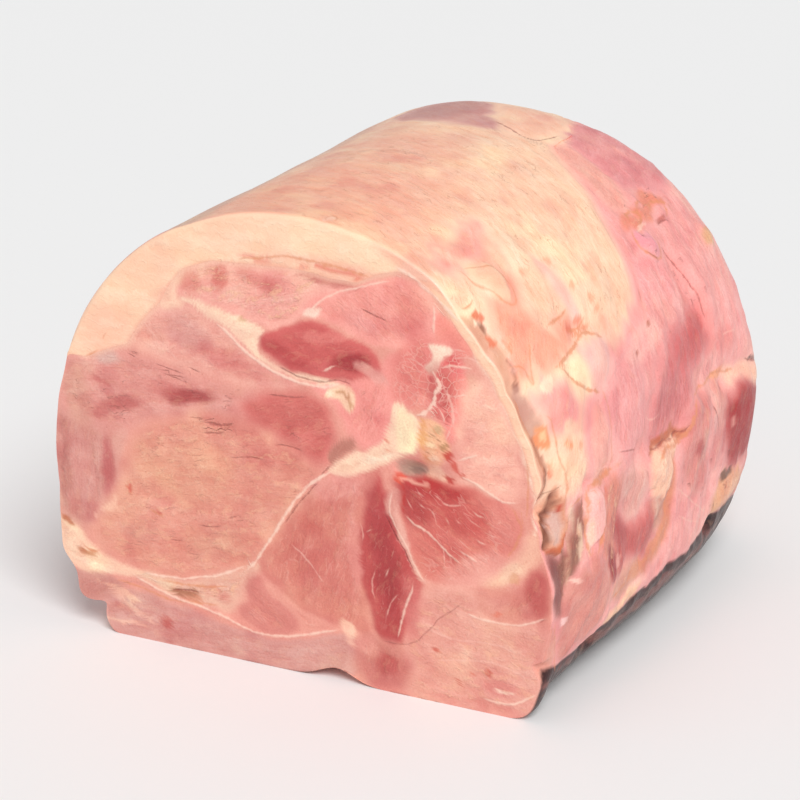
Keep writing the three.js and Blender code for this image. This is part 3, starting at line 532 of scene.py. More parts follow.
CUT_THREADS = [Thread(*row) for row in (
    ("pale", 0.5, ((-33, 112.4), (-28, 108.8), (-22, 104.2), (-17, 101.3), (-12, 99.2), (-6, 97.8),
        (0, 97), (6, 97.4), (10, 99.2))),
    ("dark", 0.18, ((-12, 101.6), (-7, 99.8), (-1, 98.6), (5, 98.7), (10, 100.4), (14.6, 99.2))),
    ("pale", 0.5, ((7, 70.5), (2, 67), (-3, 62), (-7, 57), (-11, 50), (-16, 42), (-21, 34), (-24, 31))),
    ("pale", 0.2, ((27.8, 67.6), (26.6, 64), (26.4, 60.6), (28.4, 56.8), (30.8, 52.8), (33.2, 48.4),
        (35.6, 43.4), (38.8, 38.9))),
    ("dark", 0.22, ((24.6, 60.4), (26, 57.2), (28.2, 53.8), (30.4, 50.2), (32.8, 46.2), (35.2, 42))),
    ("pale", 0.5, ((28, 139), (34, 136.5), (40, 132.5), (46, 127.6), (50, 124.2))),
    ("pale", 0.3, ((-1, 120), (4, 125), (10, 128.5), (18, 131), (27, 134))),
    ("pale", 0.3, ((41, 129), (41.4, 124), (41, 119))),
    ("pale", 0.32, ((34.9, 38.4), (33.7, 34), (31.8, 29.4), (30.3, 23.6), (29.4, 18.6))),
    ("web", 0.28, ((29.7, 34.1), (27.5, 31), (26, 28.1), (25.4, 24.9))),
    ("web", 0.25, ((-59, 109), (-54, 104), (-46, 97.5))),
    ("pale", 0.3, ((52, 32), (58, 31), (64, 30.6), (71, 31.5), (79, 35.5))),
    ("pale", 0.4, ((-66, 22), (-56, 18.6), (-48, 16.4), (-40, 15.6), (-30, 13.6), (-22, 10.4),
        (-10, 11), (0, 14.5), (9, 17.5))),
    ("pale", 0.4, ((-62, 23.4), (-50, 23.6), (-42, 25.4), (-32, 28.4), (-24, 33))),
    ("pale", 0.35, ((58, 5), (64, 3.8), (71, 5.5), (76.5, 10))),
    ("pale", 0.5, ((4, 102), (9, 105))),
    ("dark", 0.22, ((-65, 98.6), (-60, 98))),
    ("dark", 0.1, ((23, 17), (29, 16.6), (35, 18), (39, 22.6), (44, 29), (52, 35.5))),
    ("dark", 0.3, ((2.5, 66), (-2, 61), (-6.4, 55.5), (-10, 49.6))),
    ("pale", 0.3, ((31.6, 60.6), (34.9, 58), (37.2, 57.4), (41.6, 54.7), (46.2, 50.7), (50.9, 47.7))),
    ("web", 0.25, ((31.8, 66.4), (34, 63.1), (34.9, 62.3))),
    ("pale", 0.2, ((35.4, 68.6), (37.2, 68.2), (39, 67.4))),
    ("web", 0.24, ((38.6, 64.4), (41.4, 62.8), (42.6, 58.7))),
    ("pale", 0.22, ((49.5, 52.8), (52.8, 51.3), (56.8, 48.8))),
    ("web", 0.24, ((44.6, 53), (45, 49.4), (45.3, 45.6))),
    ("pale", 0.2, ((53.6, 66), (56, 64.6), (59, 64))),
    ("web", 0.2, ((57.6, 60.4), (60.4, 59), (63.6, 58.4))),
    ("web", 0.3, ((41, 69.2), (43.5, 68.1), (45.3, 66), (48.4, 66.3), (51.5, 67.2))),
    ("pale", 0.28, ((45, 62.2), (46.3, 60.4), (47, 59.4))),
    ("web", 0.26, ((48.4, 62.8), (49.3, 61.2), (51.4, 60.6))),
    ("pale", 0.25, ((55.2, 57.2), (57.3, 56.1), (59.6, 55.8))),
    ("pale", 0.22, ((40.4, 42.9), (42.9, 44.6))),
    ("web", 0.25, ((46, 41.1), (48.4, 43.6))),
    ("pale", 0.25, ((55.8, 48.2), (56.6, 45.3))),
    ("web", 0.2, ((49, 56.4), (52, 54.4), (55, 52.8))),
    ("pale", 0.2, ((36, 65.6), (39.4, 63.2))),
    ("web", 0.22, ((52, 63.6), (55, 61.8), (58, 60.8))),
    ("pale", 0.75, ((40.6, 108.4), (42, 106.2), (43.1, 104.6), (42.6, 102.6), (41.8, 101.2), (42, 99.4),
        (41.3, 97.6), (39.3, 95.4), (37.4, 93.6), (35.2, 92.8))),
    ("web", 0.45, ((43.4, 104.6), (44.7, 103), (46.4, 100.9), (47.4, 98.2), (48, 95.7), (48, 93.6),
        (47.2, 91.4), (46.1, 88.7), (45, 86.2))),
    ("web", 0.35, ((42, 98), (43.8, 99.3), (46, 100))),
    ("pale", 0.28, ((42.6, 97), (43.8, 95.8), (44.6, 94.2), (44.9, 91.6))),
    ("pale", 0.28, ((43.4, 109.6), (46.9, 110.6), (50.2, 111), (54.5, 110.4))),
    ("web", 0.3, ((46.6, 115.4), (49.4, 115.8), (52.6, 115.2))),
    ("web", 0.28, ((46.6, 112.8), (50.2, 113.7), (54, 113.8), (56.6, 112.8))),
    ("web", 0.25, ((38.8, 108.2), (35, 110.3), (31.6, 110.8))),
    ("pale", 0.22, ((47.2, 100.6), (49.6, 102), (53, 102.4))),
    ("web", 0.22, ((48.4, 97), (51, 98), (55, 98))),
    ("pale", 0.3, ((48.6, 80.6), (52, 82.2), (56.7, 84.4))),
    ("web", 0.28, ((56.1, 89.7), (57.2, 93), (59, 95.8))),
    ("pale", 0.32, ((49.6, 75.9), (53.4, 76), (59.4, 72.2), (64.8, 70.4), (69.2, 71))),
    ("brown", 0.32, ((66.8, 69.4), (70.5, 64.1), (70.5, 61.7), (68, 56.4), (65.6, 52.3))),
    ("brown", 0.3, ((70.5, 86.7), (72, 83.3), (72.4, 78), (72.2, 71.9), (71.7, 66))),
    ("brown", 0.22, ((38.8, 91.8), (41, 90.2), (42.2, 88.2), (44.4, 87.2))),
    ("brown", 0.22, ((37, 84.4), (39.4, 83.2), (42, 83.4), (44.6, 82))),
    ("web", 0.3, ((16.4, 55.6), (18, 51.8), (17, 48.8))),
    ("pale", 0.25, ((21, 54.2), (18.4, 52))),
    ("web", 0.22, ((-8, 44), (-2, 40), (4, 32))),
    ("web", 0.22, ((28.2, 48.8), (27.5, 45.5))),
    ("pale", 0.2, ((26.9, 42.4), (24.8, 38.3))),
    ("web", 0.22, ((22, 41), (20.4, 36), (22, 30))),
    ("web", 0.2, ((40, 24), (50, 22), (60, 24), (70, 22))),
    ("web", 0.2, ((42, 14), (52, 16), (62, 18), (74, 14))),
    ("dark", 0.5, ((-38.6, 79), (-34.5, 78.4), (-30.5, 78.7), (-27, 80.4))),
    ("dark", 0.2, ((-44, 79.4), (-40, 79.6), (-37, 80.4))),
    ("dark", 0.2, ((-40, 75.4), (-35, 75.2), (-30, 76.6))),
    ("dark", 0.2, ((-53, 93), (-48, 91.8), (-42.4, 91))),
    ("dark", 0.14, ((-56, 96), (-50, 94.6), (-44, 93.6))),
    ("dark", 0.2, ((-30.8, 47.6), (-28.4, 48.6), (-26, 49.8))),
    ("dark", 0.35, ((-65.4, 97.7), (-61.4, 96.5))),
    ("dark", 0.2, ((-27, 91), (-24, 91.6))),
    ("dark", 0.18, ((-42, 43.4), (-38.3, 43.6), (-34.6, 44), (-32, 45.4))),
    ("dark", 0.18, ((-52.5, 36.8), (-49, 36.7), (-46, 37.4))),
    ("dark", 0.2, ((16, 124.4), (19.4, 123.2), (22.3, 122), (26.7, 121))),
    ("dark", 0.18, ((17.6, 115.6), (20.8, 115.8))),
    ("dark", 0.2, ((-44, 96.2), (-38, 95))),
    ("dark", 0.14, ((-16, 91.5), (-8, 92), (-1, 93))),
    ("dark", 0.15, ((-14, 75), (-8, 76), (-2, 75))),
    ("dark", 0.3, ((2.6, 68), (5, 70.4), (6.6, 72.4))),
    ("dark", 0.25, ((76, 33), (79, 35.5))),
    ("dark", 0.16, ((-30, 68), (-22, 70), (-16, 70))),
    ("dark", 0.3, ((-52, 19), (-46, 20.4), (-40, 20.4))),
    ("brown", 0.45, ((-59, 46.2), (-56, 45), (-53, 43.5))),
    ("brown", 0.5, ((-55, 22), (-46, 22.4), (-38, 22.6), (-30, 25))),
    ("brown", 0.4, ((-85, 30), (-81, 26.5), (-77.5, 28.5))),
    ("brown", 0.4, ((-72, 19), (-62, 18), (-52, 15.6), (-42, 16.6), (-34, 17.4))),
    ("brown", 0.4, ((-25, 133.8), (-16.2, 135.4), (-9.8, 136.6), (-5, 137), (3, 136.5), (11, 135.7),
        (17.4, 134.8), (20.6, 133.9))),
    ("brown", 0.5, ((-81, 94.3), (-78, 95.4), (-75.4, 97.3))),
    ("brown", 0.4, ((-74.4, 100.4), (-72, 103.8))),
    ("brown", 0.35, ((3.6, 136.3), (4.8, 135), (6, 133.8))),
    ("brown", 0.35, ((-60.5, 114.5), (-59.5, 117))),
    ("brown", 0.3, ((76.4, 75), (76.6, 66), (76.4, 60))),
)]

# The skin. Places are (mm behind the cut, angle). The foot's underside is laid last, with a crisper edge,
# painted near black as the shade under the ham.
FLANK_BASE = (250, 178, 172)
FLANK_PATCHES = (
    Patch("fat of the flank", (255, 214, 185), ((-2, 4), (8, 4), (20, 7), (22, 16), (27, 22), (38, 22),
        (46, 26), (60, 27.5), (72, 30), (80, 36), (86, 43), (92, 49.5), (97, 56), (106, 62), (114, 67),
        (130, 69), (150, 70), (166, 90), (160, 165), (-2, 165)), 3.0, 70, 0.7, fleck=0.5, vein=0.5),
    Patch("salmon streaks", (255, 184, 158), ((0, 30), (0, 38), (8, 44), (16, 52), (30, 60), (40, 60),
        (32, 50), (22, 43), (26, 36), (38, 38), (44, 36), (34, 32), (20, 30), (10, 34)), 3.6, 50, 0.6,
        fleck=0.5, vein=0.3),
    Patch("pink over the fat lobe", (254, 188, 172), ((4, 62), (12, 55.5), (18, 57), (24, 56), (34, 58),
        (46, 63), (28, 64)), 3.0, 50, 0.6, fleck=0.4),
    Patch("pink by the cut", (252, 180, 171), ((5, 20), (6, 28), (12, 30), (18, 29.5), (22, 27), (25, 23),
        (24, 20), (16, 18.6)), 3.0, 60, 0.4, fleck=0.5),
    Patch("cream side of the clear lobe", (255, 224, 192), ((23.5, 29.5), (30, 31), (37, 30.5), (38, 24),
        (33, 23), (28, 25)), 2.0, 40, 0.3, fleck=0.3),
    Patch("clear lobe", (247, 192, 184), ((36, 31), (44, 31), (50, 29), (48, 24), (40, 21.5), (36, 23)), 2.4,
        70, 0.2, fleck=0.2),
    Patch("clear strip", (252, 198, 186), ((41, 34), (45, 36), (47, 44), (46, 50), (43, 50), (41, 42)), 1.8,
        80, 0.3),
    # Painted shade: the tan grey strip in the groove behind the cut edge.
    Patch("strip behind the cut", (226, 172, 146), ((-2, 50), (3, 49.5), (5.8, 48.6), (5, 44), (4.2, 39),
        (3.8, 33), (4.4, 27), (3.6, 21), (3, 14), (2.6, 8), (-2, 8)), 1.4, 84, 0.6, fleck=0.4, vein=0.3),
    Patch("fat lobe", (255, 212, 180), ((13, 55), (13.5, 51), (16, 47), (20, 44.5), (23.5, 46.5), (25, 50.5),
        (23, 54), (17, 56)), 0.7, 0, 0.1, level=0.4),
    Patch("pink plate", (250, 182, 169), ((23.5, 6.2), (38, 6.0), (38.4, 14), (37, 20), (30, 18), (25, 14)),
        1.6, 88, 0.6, level=0.2),
    Patch("lilac muscle", (246, 172, 169), ((41, 6), (39, 20), (52, 23), (66, 26), (66, 16), (61, 5)), 3.0,
        86, 0.8),
    Patch("pocket", (228, 164, 134), ((5.6, 10), (8, 7), (10.8, 2), (10.2, -2), (7.6, -4.8), (3, -5.4),
        (2.2, -1), (3.4, 5)), 0.9, 80, 0.4, fleck=0.4, level=0.4),
    # The slit is painted dark brown as the shade inside it.
    Patch("slit of the pocket", (134, 78, 58), ((5.8, 8.6), (6.4, 6.4), (5.6, 3), (4.4, -0.6), (4, -3.6),
        (2.8, -3.6), (3, 0.4), (4.6, 5)), 0.5, 80, 0.3, level=-0.7),
    Patch("lining of the pocket", (222, 184, 170), ((6.8, 6), (8.4, 3), (8.6, -0.6), (7, -2.8), (5, -2.6),
        (5.2, 0.4), (6.2, 3.2)), 0.5, 80, 0.4, level=-0.4),
    Patch("bottom of the pocket", (206, 112, 72), ((3.4, -3.4), (7, -2.9), (9.6, -1.4), (9.6, -2.8),
        (7, -4.8), (3.2, -5)), 0.6, 0, 0.3, level=0.3),
    Patch("ridge of the pocket", (248, 212, 188), ((11, 3.8), (13.4, 3.6), (13.6, -3), (12, -7),
        (10.6, -2.6)), 1.0, 80, 0.4),
    Patch("brown hollow", (172, 104, 90), ((13, 3.6), (20, 4.6), (19, -0.6), (17.4, -4), (16, -8), (9.6, -11),
        (8, -17), (4, -18), (2, -10), (3, -5.4), (9.4, -6)), 1.8, 78, 1.0, fleck=0.8, vein=0.6),
    Patch("pale lobe", (252, 190, 183), ((22, 5.2), (20, 0.5), (18, -3.4), (21.5, -8.6), (26, -5.4),
        (30, -1.5), (28.6, 3.6)), 0.6, 82, 0.5, fleck=0.6, level=0.6),
    Patch("orange mottles", (230, 150, 131), ((33.6, 4.2), (27, -5.6), (25, -8), (29, -11.4), (31.6, -16.4),
        (42, -16.4), (46, -8.6), (46, 1.4), (41, 5)), 2.6, 80, 0.6, fleck=1.0, vein=0.7),
    Patch("pale grey muscle", (238, 184, 172), ((43, 5.2), (62.5, 2.8), (62, -4.6), (58, -9), (48, -8.6)),
        3.4, 80, 0.9),
    Patch("red low muscle", (207, 108, 104), ((44, -4), (49, -8.6), (57.6, -9.8), (65, -6), (74, -11.4),
        (67, -17), (50, -16), (40, -16.2), (35.6, -11.2)), 3.6, 70, 1.0),
    Patch("shank lobe", (226, 156, 144), ((10, -10.5), (18.5, -9.4), (28, -9.8), (32, -15.4), (34, -22),
        (19, -26.4), (8, -28), (5, -20)), 2.0, 50, 0.5),
    Patch("tan strip", (228, 166, 145), ((35, -16.6), (50, -16.5), (68, -17.8), (76, -13.6), (80, -14),
        (71, -20), (50, -20.6), (36, -21.4)), 2.2, 12, 0.6, fleck=1.0, vein=0.6),
    Patch("cream strip of the low edge", (255, 204, 172), ((34, -25), (46, -21.4), (60, -20.4), (60, -23),
        (46, -24.4), (36, -26.4)), 1.0, 12, 0.5, fleck=0.8),
    Patch("front lip", (240, 172, 154), ((-1, -18), (3, -20), (6, -26), (9, -32), (-1, -34)), 0.8, 80, 0.3),
    Patch("dark mauve muscle", (227, 141, 140), ((66, 4), (68, 14), (80, 20), (90, 24), (99, 23), (101, 9.4),
        (92, 4.4), (82, 2.6)), 9.0, 86, 1.4, vein=0.2),
    Patch("dark band", (214, 108, 108), ((86, 18), (96, 23), (108, 25), (120, 22), (120.6, 15.6), (105, 15.2),
        (94, 15.2)), 7.0, 84, 0.9),
    Patch("rib", (255, 170, 163), ((110.6, 37), (115, 36), (118, 30), (121, 24), (124.6, 18), (121, 16),
        (118, 20), (116.6, 26), (113.6, 31)), 1.4, 74, 0.5),
    Patch("tan slope of the cushion", (219, 163, 143), ((64, -6), (76, -5), (82, -9.2), (76.6, -15),
        (68, -12.6)), 2.6, 70, 0.8, fleck=0.6, vein=0.5),
    Patch("cream cushion", (255, 206, 178), ((65, 2), (61.6, -2), (65, -5.6), (72, -7.4), (81, -4.2),
        (88, 0.3), (84, 2.4), (74, 3)), 0.8, 40, 0.6, fleck=1.0, vein=0.3, level=0.5),
    Patch("crust of the low edge", (228, 152, 122), ((80, -1), (83, -2), (82.6, -9), (80.4, -15.4), (74, -19),
        (62, -19.8), (50, -19.2), (50, -17.2), (62, -17.2), (71, -16), (76.6, -13), (78.6, -8)), 1.2, 30, 0.7,
        fleck=0.8, vein=0.9, level=-0.4),
    Patch("crust over the cushion", (206, 126, 94), ((66, 3.6), (76, 4.4), (86, 4), (94, 3.2), (92, 1),
        (82, 1.6), (74, 2.4), (67, 1.8)), 0.8, 10, 0.6, fleck=0.8, vein=0.8),
    Patch("rear lobe", (230, 154, 146), ((90, 1.6), (97.5, 7.2), (105, 8.2), (114, 8), (108, 2.4),
        (109.4, -8), (103, -13), (94, -12), (88, -6)), 3.6, 76, 1.2, fleck=0.4),
    Patch("second rear lobe", (237, 162, 155), ((115.5, 8.6), (123.5, 8.4), (128, 3.6), (125, -3.4),
        (122, -11.4), (112, -11.6), (110, -3.4)), 2.4, 76, 1.0, fleck=0.4),
    Patch("rear red muscle", (176, 36, 38), ((123, 2.6), (126.5, -11.4), (134, -14.4), (146, -13), (166, -15),
        (168, 1), (143, 2.4), (133, 2.6)), 4.0, 64, 1.1),
    Patch("rear cream strip", (255, 206, 181), ((125.4, 8), (136, 6.5), (149, 6.4), (168, 3), (168, -1.6),
        (143, 3), (133, 4), (130, 4.6)), 2.2, 10, 0.5, fleck=0.5, vein=0.3),
    Patch("heel gristle", (236, 172, 138), ((115, -17), (124, -13.6), (136, -14), (150, -17), (152, -21.6),
        (132, -22), (118, -21)), 1.6, 20, 0.5, fleck=1.0, vein=1.0),
    Patch("gland rim", (240, 152, 130), ((96, 43), (99, 46.5), (112, 46.4), (122, 48.6), (132, 46.6),
        (128, 44.4), (118, 43.6), (111, 42.8), (100, 42.8)), 1.4, 10, 0.6, fleck=1.0, vein=1.0),
    Patch("gland", (244, 170, 176), ((97, 41), (99.5, 42.3), (103, 42.3), (106, 40.8), (107, 38.6),
        (104.6, 36.8), (101, 36.4), (98, 37.8)), 0.7, 0, 0.0),
    Patch("cream spot over the gland", (255, 206, 184), ((102, 48), (101, 53), (108, 56), (113, 52),
        (110, 48)), 2.6, 0, 0.2),
    Patch("pale strip of the rear", (252, 186, 170), ((98, 52), (101, 58), (107, 66), (114, 68), (120, 66),
        (119, 58), (114, 50), (106, 46), (99, 47)), 3.0, 30, 0.3),
    Patch("upper rear muscle", (236, 158, 158), ((118, 66), (126, 69), (150, 69), (160, 52), (140, 46.6),
        (124, 48.6), (115, 51), (118, 57), (118, 62)), 2.4, 30, 0.3),
    Patch("cream spot at the rear top", (255, 208, 180), ((108, 72), (111, 79), (124, 84), (140, 86),
        (148, 78), (138, 71), (120, 69.4)), 1.8, 60, 0.5, fleck=0.3),
    Patch("mauve rear top", (222, 168, 160), ((107, 80), (108, 94), (114, 104), (130, 108), (146, 100),
        (140, 88), (122, 85), (112, 80)), 2.6, 60, 0.9),
)
# The underside is painted near black: it stands for the shade where the skin turns under the ham.
FOOT_UNDERSIDE_SHADE = (
    Patch("underside", (60, 12, 10), ((-2, -28.8), (10, -28.4), (30, -27.4), (46, -25), (60, -23.8),
        (96, -23.2), (112, -21.8), (122, -21.2), (150, -22), (170, -30), (170, -60), (-2, -60)), 0.5, 0, 0.5),
)
FLANK_WASHES = [Wash(*row) for row in (
    ((251, 185, 158), (18, 92), (34, 26), 0, 0.8),
    ((250, 182, 160), (62, 90), (34, 14), 0, 0.6),
    ((255, 196, 172), (40, 76), (34, 8), 6, 0.5),
    ((255, 206, 180), (16, 66), (22, 4), 0, 0.5),
    ((255, 222, 192), (62, 46), (20, 12), 10, 0.6),
    ((255, 226, 196), (36, 54), (12, 5), 16, 0.6),
    # The next three grey washes are painted shade: a band along the top edge, where the skin turns away from
    # the light.
    ((196, 160, 144), (16, 116), (34, 6), -5, 0.5),
    ((192, 156, 142), (60, 117.5), (30, 8), -8, 0.42),
    ((200, 160, 146), (104, 113), (30, 6), 4, 0.4),
    ((204, 152, 146), (126, 95), (16, 7), 0, 0.85),
    ((255, 214, 194), (3.8, 83), (2.2, 0.7), 0, 0.8),
    ((214, 160, 140), (70, 91), (1.6, 7), 6, 0.35),
    ((254, 199, 176), (126, 76), (18, 5), 0, 0.4),
    ((224, 116, 82), (6.2, 47.8), (1.8, 1.3), 0, 0.85),
    # Painted highlight on the orange knob by the cut.
    ((255, 226, 202), (4.4, 46.6), (1.0, 0.5), 0, 0.9),
    ((150, 92, 70), (5, 45.2), (0.9, 1.3), 0, 0.8),
    ((230, 130, 96), (4, 42.4), (1.3, 1.6), 0, 0.85),
    ((236, 150, 116), (6.4, 40), (1.0, 1.8), 0, 0.7),
    ((178, 116, 92), (4.6, 35), (0.8, 2.4), 0, 0.7),
    ((150, 84, 62), (4, 31.6), (0.8, 1.1), 0, 0.9),
    # The next three greyer washes are painted shade in the same groove behind the cut.
    ((202, 152, 138), (3.8, 26), (2.4, 6.0), 0, 0.85),
    ((190, 134, 112), (2.6, 17), (1.2, 5), 0, 0.8),
    ((150, 98, 78), (1.8, 11), (0.8, 4), 0, 0.8),
    ((242, 156, 108), (5, 20), (1.3, 2.8), 0, 0.9),
    ((255, 216, 170), (5.2, 20.2), (0.5, 1.2), 0, 0.7),
    ((234, 118, 84), (4.6, 12.6), (1.2, 1.8), 0, 0.85),
    ((242, 160, 112), (13, 16), (1.8, 1.0), -10, 0.75),
    ((255, 226, 190), (13, 16), (0.8, 0.5), 0, 0.8),
    ((244, 170, 130), (19, 15), (1.4, 0.8), 30, 0.6),
    ((255, 222, 186), (9, 12), (4, 4), 40, 0.7),
    ((255, 224, 190), (17, 19.6), (3, 1.6), 0, 0.7),
    ((255, 228, 200), (14, 29), (3, 1.2), 10, 0.7),
    ((246, 160, 156), (18, 23.6), (4, 2.4), -40, 0.7),
    ((240, 140, 110), (37, 34.8), (2, 0.8), 0, 0.75),
    ((240, 140, 110), (43, 35.4), (1.8, 0.9), 0, 0.75),
    ((242, 150, 118), (43, 33.2), (2.6, 0.5), -8, 0.75),
    ((246, 172, 138), (50, 42), (1.6, 0.9), 0, 0.7),
    ((246, 172, 138), (54, 38), (1.8, 0.9), 30, 0.7),
    ((246, 178, 146), (48, 49), (1.4, 0.8), 0, 0.6),
    ((246, 172, 138), (53, 35.6), (1.6, 0.7), 0, 0.6),
    ((248, 180, 150), (36, 49), (1.8, 1.0), 0, 0.6),
    ((250, 184, 156), (66, 42), (7, 1.4), 18, 0.45),
    ((250, 184, 156), (76, 52), (8, 1.4), 18, 0.45),
    ((146, 94, 90), (4.6, -11), (3.2, 6.4), 0, 0.85),
    ((150, 100, 84), (8.2, -9), (0.8, 5.5), 0, 0.85),
    ((214, 164, 140), (10.2, -8), (0.8, 6), 0, 0.6),
    ((156, 106, 88), (12.2, -6), (0.7, 5), 0, 0.8),
    ((198, 76, 48), (7.4, 3.6), (0.9, 1.1), 0, 0.9),
    ((246, 210, 184), (15.6, -3), (1.2, 5), 4, 0.7),
    ((168, 112, 94), (18, 0.4), (1.0, 4), 0, 0.7),
    ((150, 104, 86), (14, -5), (0.9, 4), 0, 0.6),
    # The next two pale washes are painted highlights on the lip above the corner flap and on the shank lobe.
    ((255, 220, 212), (7.6, -19), (2.4, 0.9), -12, 0.95),
    ((255, 212, 196), (13.6, -11.6), (2.6, 0.9), 0, 0.85),
    ((255, 214, 192), (21, -4), (1.2, 4), 0, 0.7),
    ((240, 160, 128), (26.4, -5.4), (1.2, 3), 6, 0.8),
    ((232, 130, 104), (32.6, 1.8), (1.4, 2), 20, 0.7),
    ((196, 96, 92), (38, -6), (4, 2.4), -30, 0.5),
    ((160, 26, 36), (33, -12), (3.0, 4.0), 10, 0.98),
    ((170, 44, 52), (36.4, -13.6), (2.0, 3.2), 6, 0.9),
    ((218, 144, 108), (31, 5.5), (9, 0.9), 0, 0.6),
    ((186, 88, 88), (45, -8.6), (6, 3), -20, 0.6),
    ((250, 190, 176), (39.6, -12.6), (1.8, 1.2), -40, 0.7),
    ((255, 198, 186), (58, -21), (5, 0.9), 0, 0.6),
    ((228, 196, 178), (68, -8), (1.0, 3), 0, 0.6),
    ((255, 216, 190), (70, -1), (5, 1.6), 4, 0.6),
    ((206, 118, 122), (80, 11), (10, 4), 5, 0.5),
    ((255, 196, 184), (70, 24), (14, 2.6), 8, 0.7),
    ((255, 176, 176), (92, 34), (14, 6), 0, 0.5),
    ((236, 186, 178), (102, 3), (1.0, 4), 0, 0.7),
    ((226, 176, 160), (104, -2.6), (2.0, 3), -10, 0.7),
    ((190, 84, 84), (99.6, -3), (3, 2), -20, 0.7),
    ((240, 190, 184), (116, 2), (1.2, 5), -8, 0.6),
    ((206, 96, 96), (123.6, -5), (1.4, 5), -8, 0.6),
    ((240, 170, 160), (128.6, -2), (0.9, 4), -6, 0.6),
    ((250, 170, 130), (121, 8.6), (6, 0.9), -4, 0.8),
    ((255, 158, 152), (118, 21), (3.0, 4), 14, 0.6),
    ((240, 158, 158), (132, 58), (14, 4), 0, 0.4),
    ((236, 146, 140), (128, 14), (10, 3), -10, 0.5),
    ((222, 170, 130), (143, 33.5), (5, 2.4), 0, 0.85),
    # The next two near black washes are painted shadows in the notch under the flank and the notch before the
    # heel.
    ((30, 16, 14), (33, -28.4), (5, 0.9), -6, 0.95),
    ((22, 12, 10), (119.6, -22.2), (3.6, 1.1), 0, 0.95),
    # Painted shade: a darker strip where the flank turns under.
    ((150, 92, 84), (70, -27.6), (60, 1.5), 4, 0.6),
    ((96, 58, 54), (152, 6.4), (5, 0.6), -6, 0.9),
    # Painted shadow at the top of the gristle over the heel.
    ((110, 74, 64), (129, -14.4), (6, 1.0), 0, 0.85),
    ((255, 206, 172), (134, -18.4), (7, 1.5), 0, 0.75),
    ((206, 130, 90), (140, -20.4), (6, 0.8), 10, 0.7),
    ((190, 110, 92), (66, 22.8), (1.1, 0.5), 20, 0.85),
    ((190, 110, 92), (78, 26.8), (1.1, 0.5), 10, 0.85),
    ((200, 120, 100), (80, 32), (0.8, 0.4), 0, 0.7),
    ((196, 110, 96), (120, 41), (2.6, 0.6), 0, 0.7),
    ((255, 210, 190), (105, 42.8), (3.4, 0.4), 4, 0.8),
)]
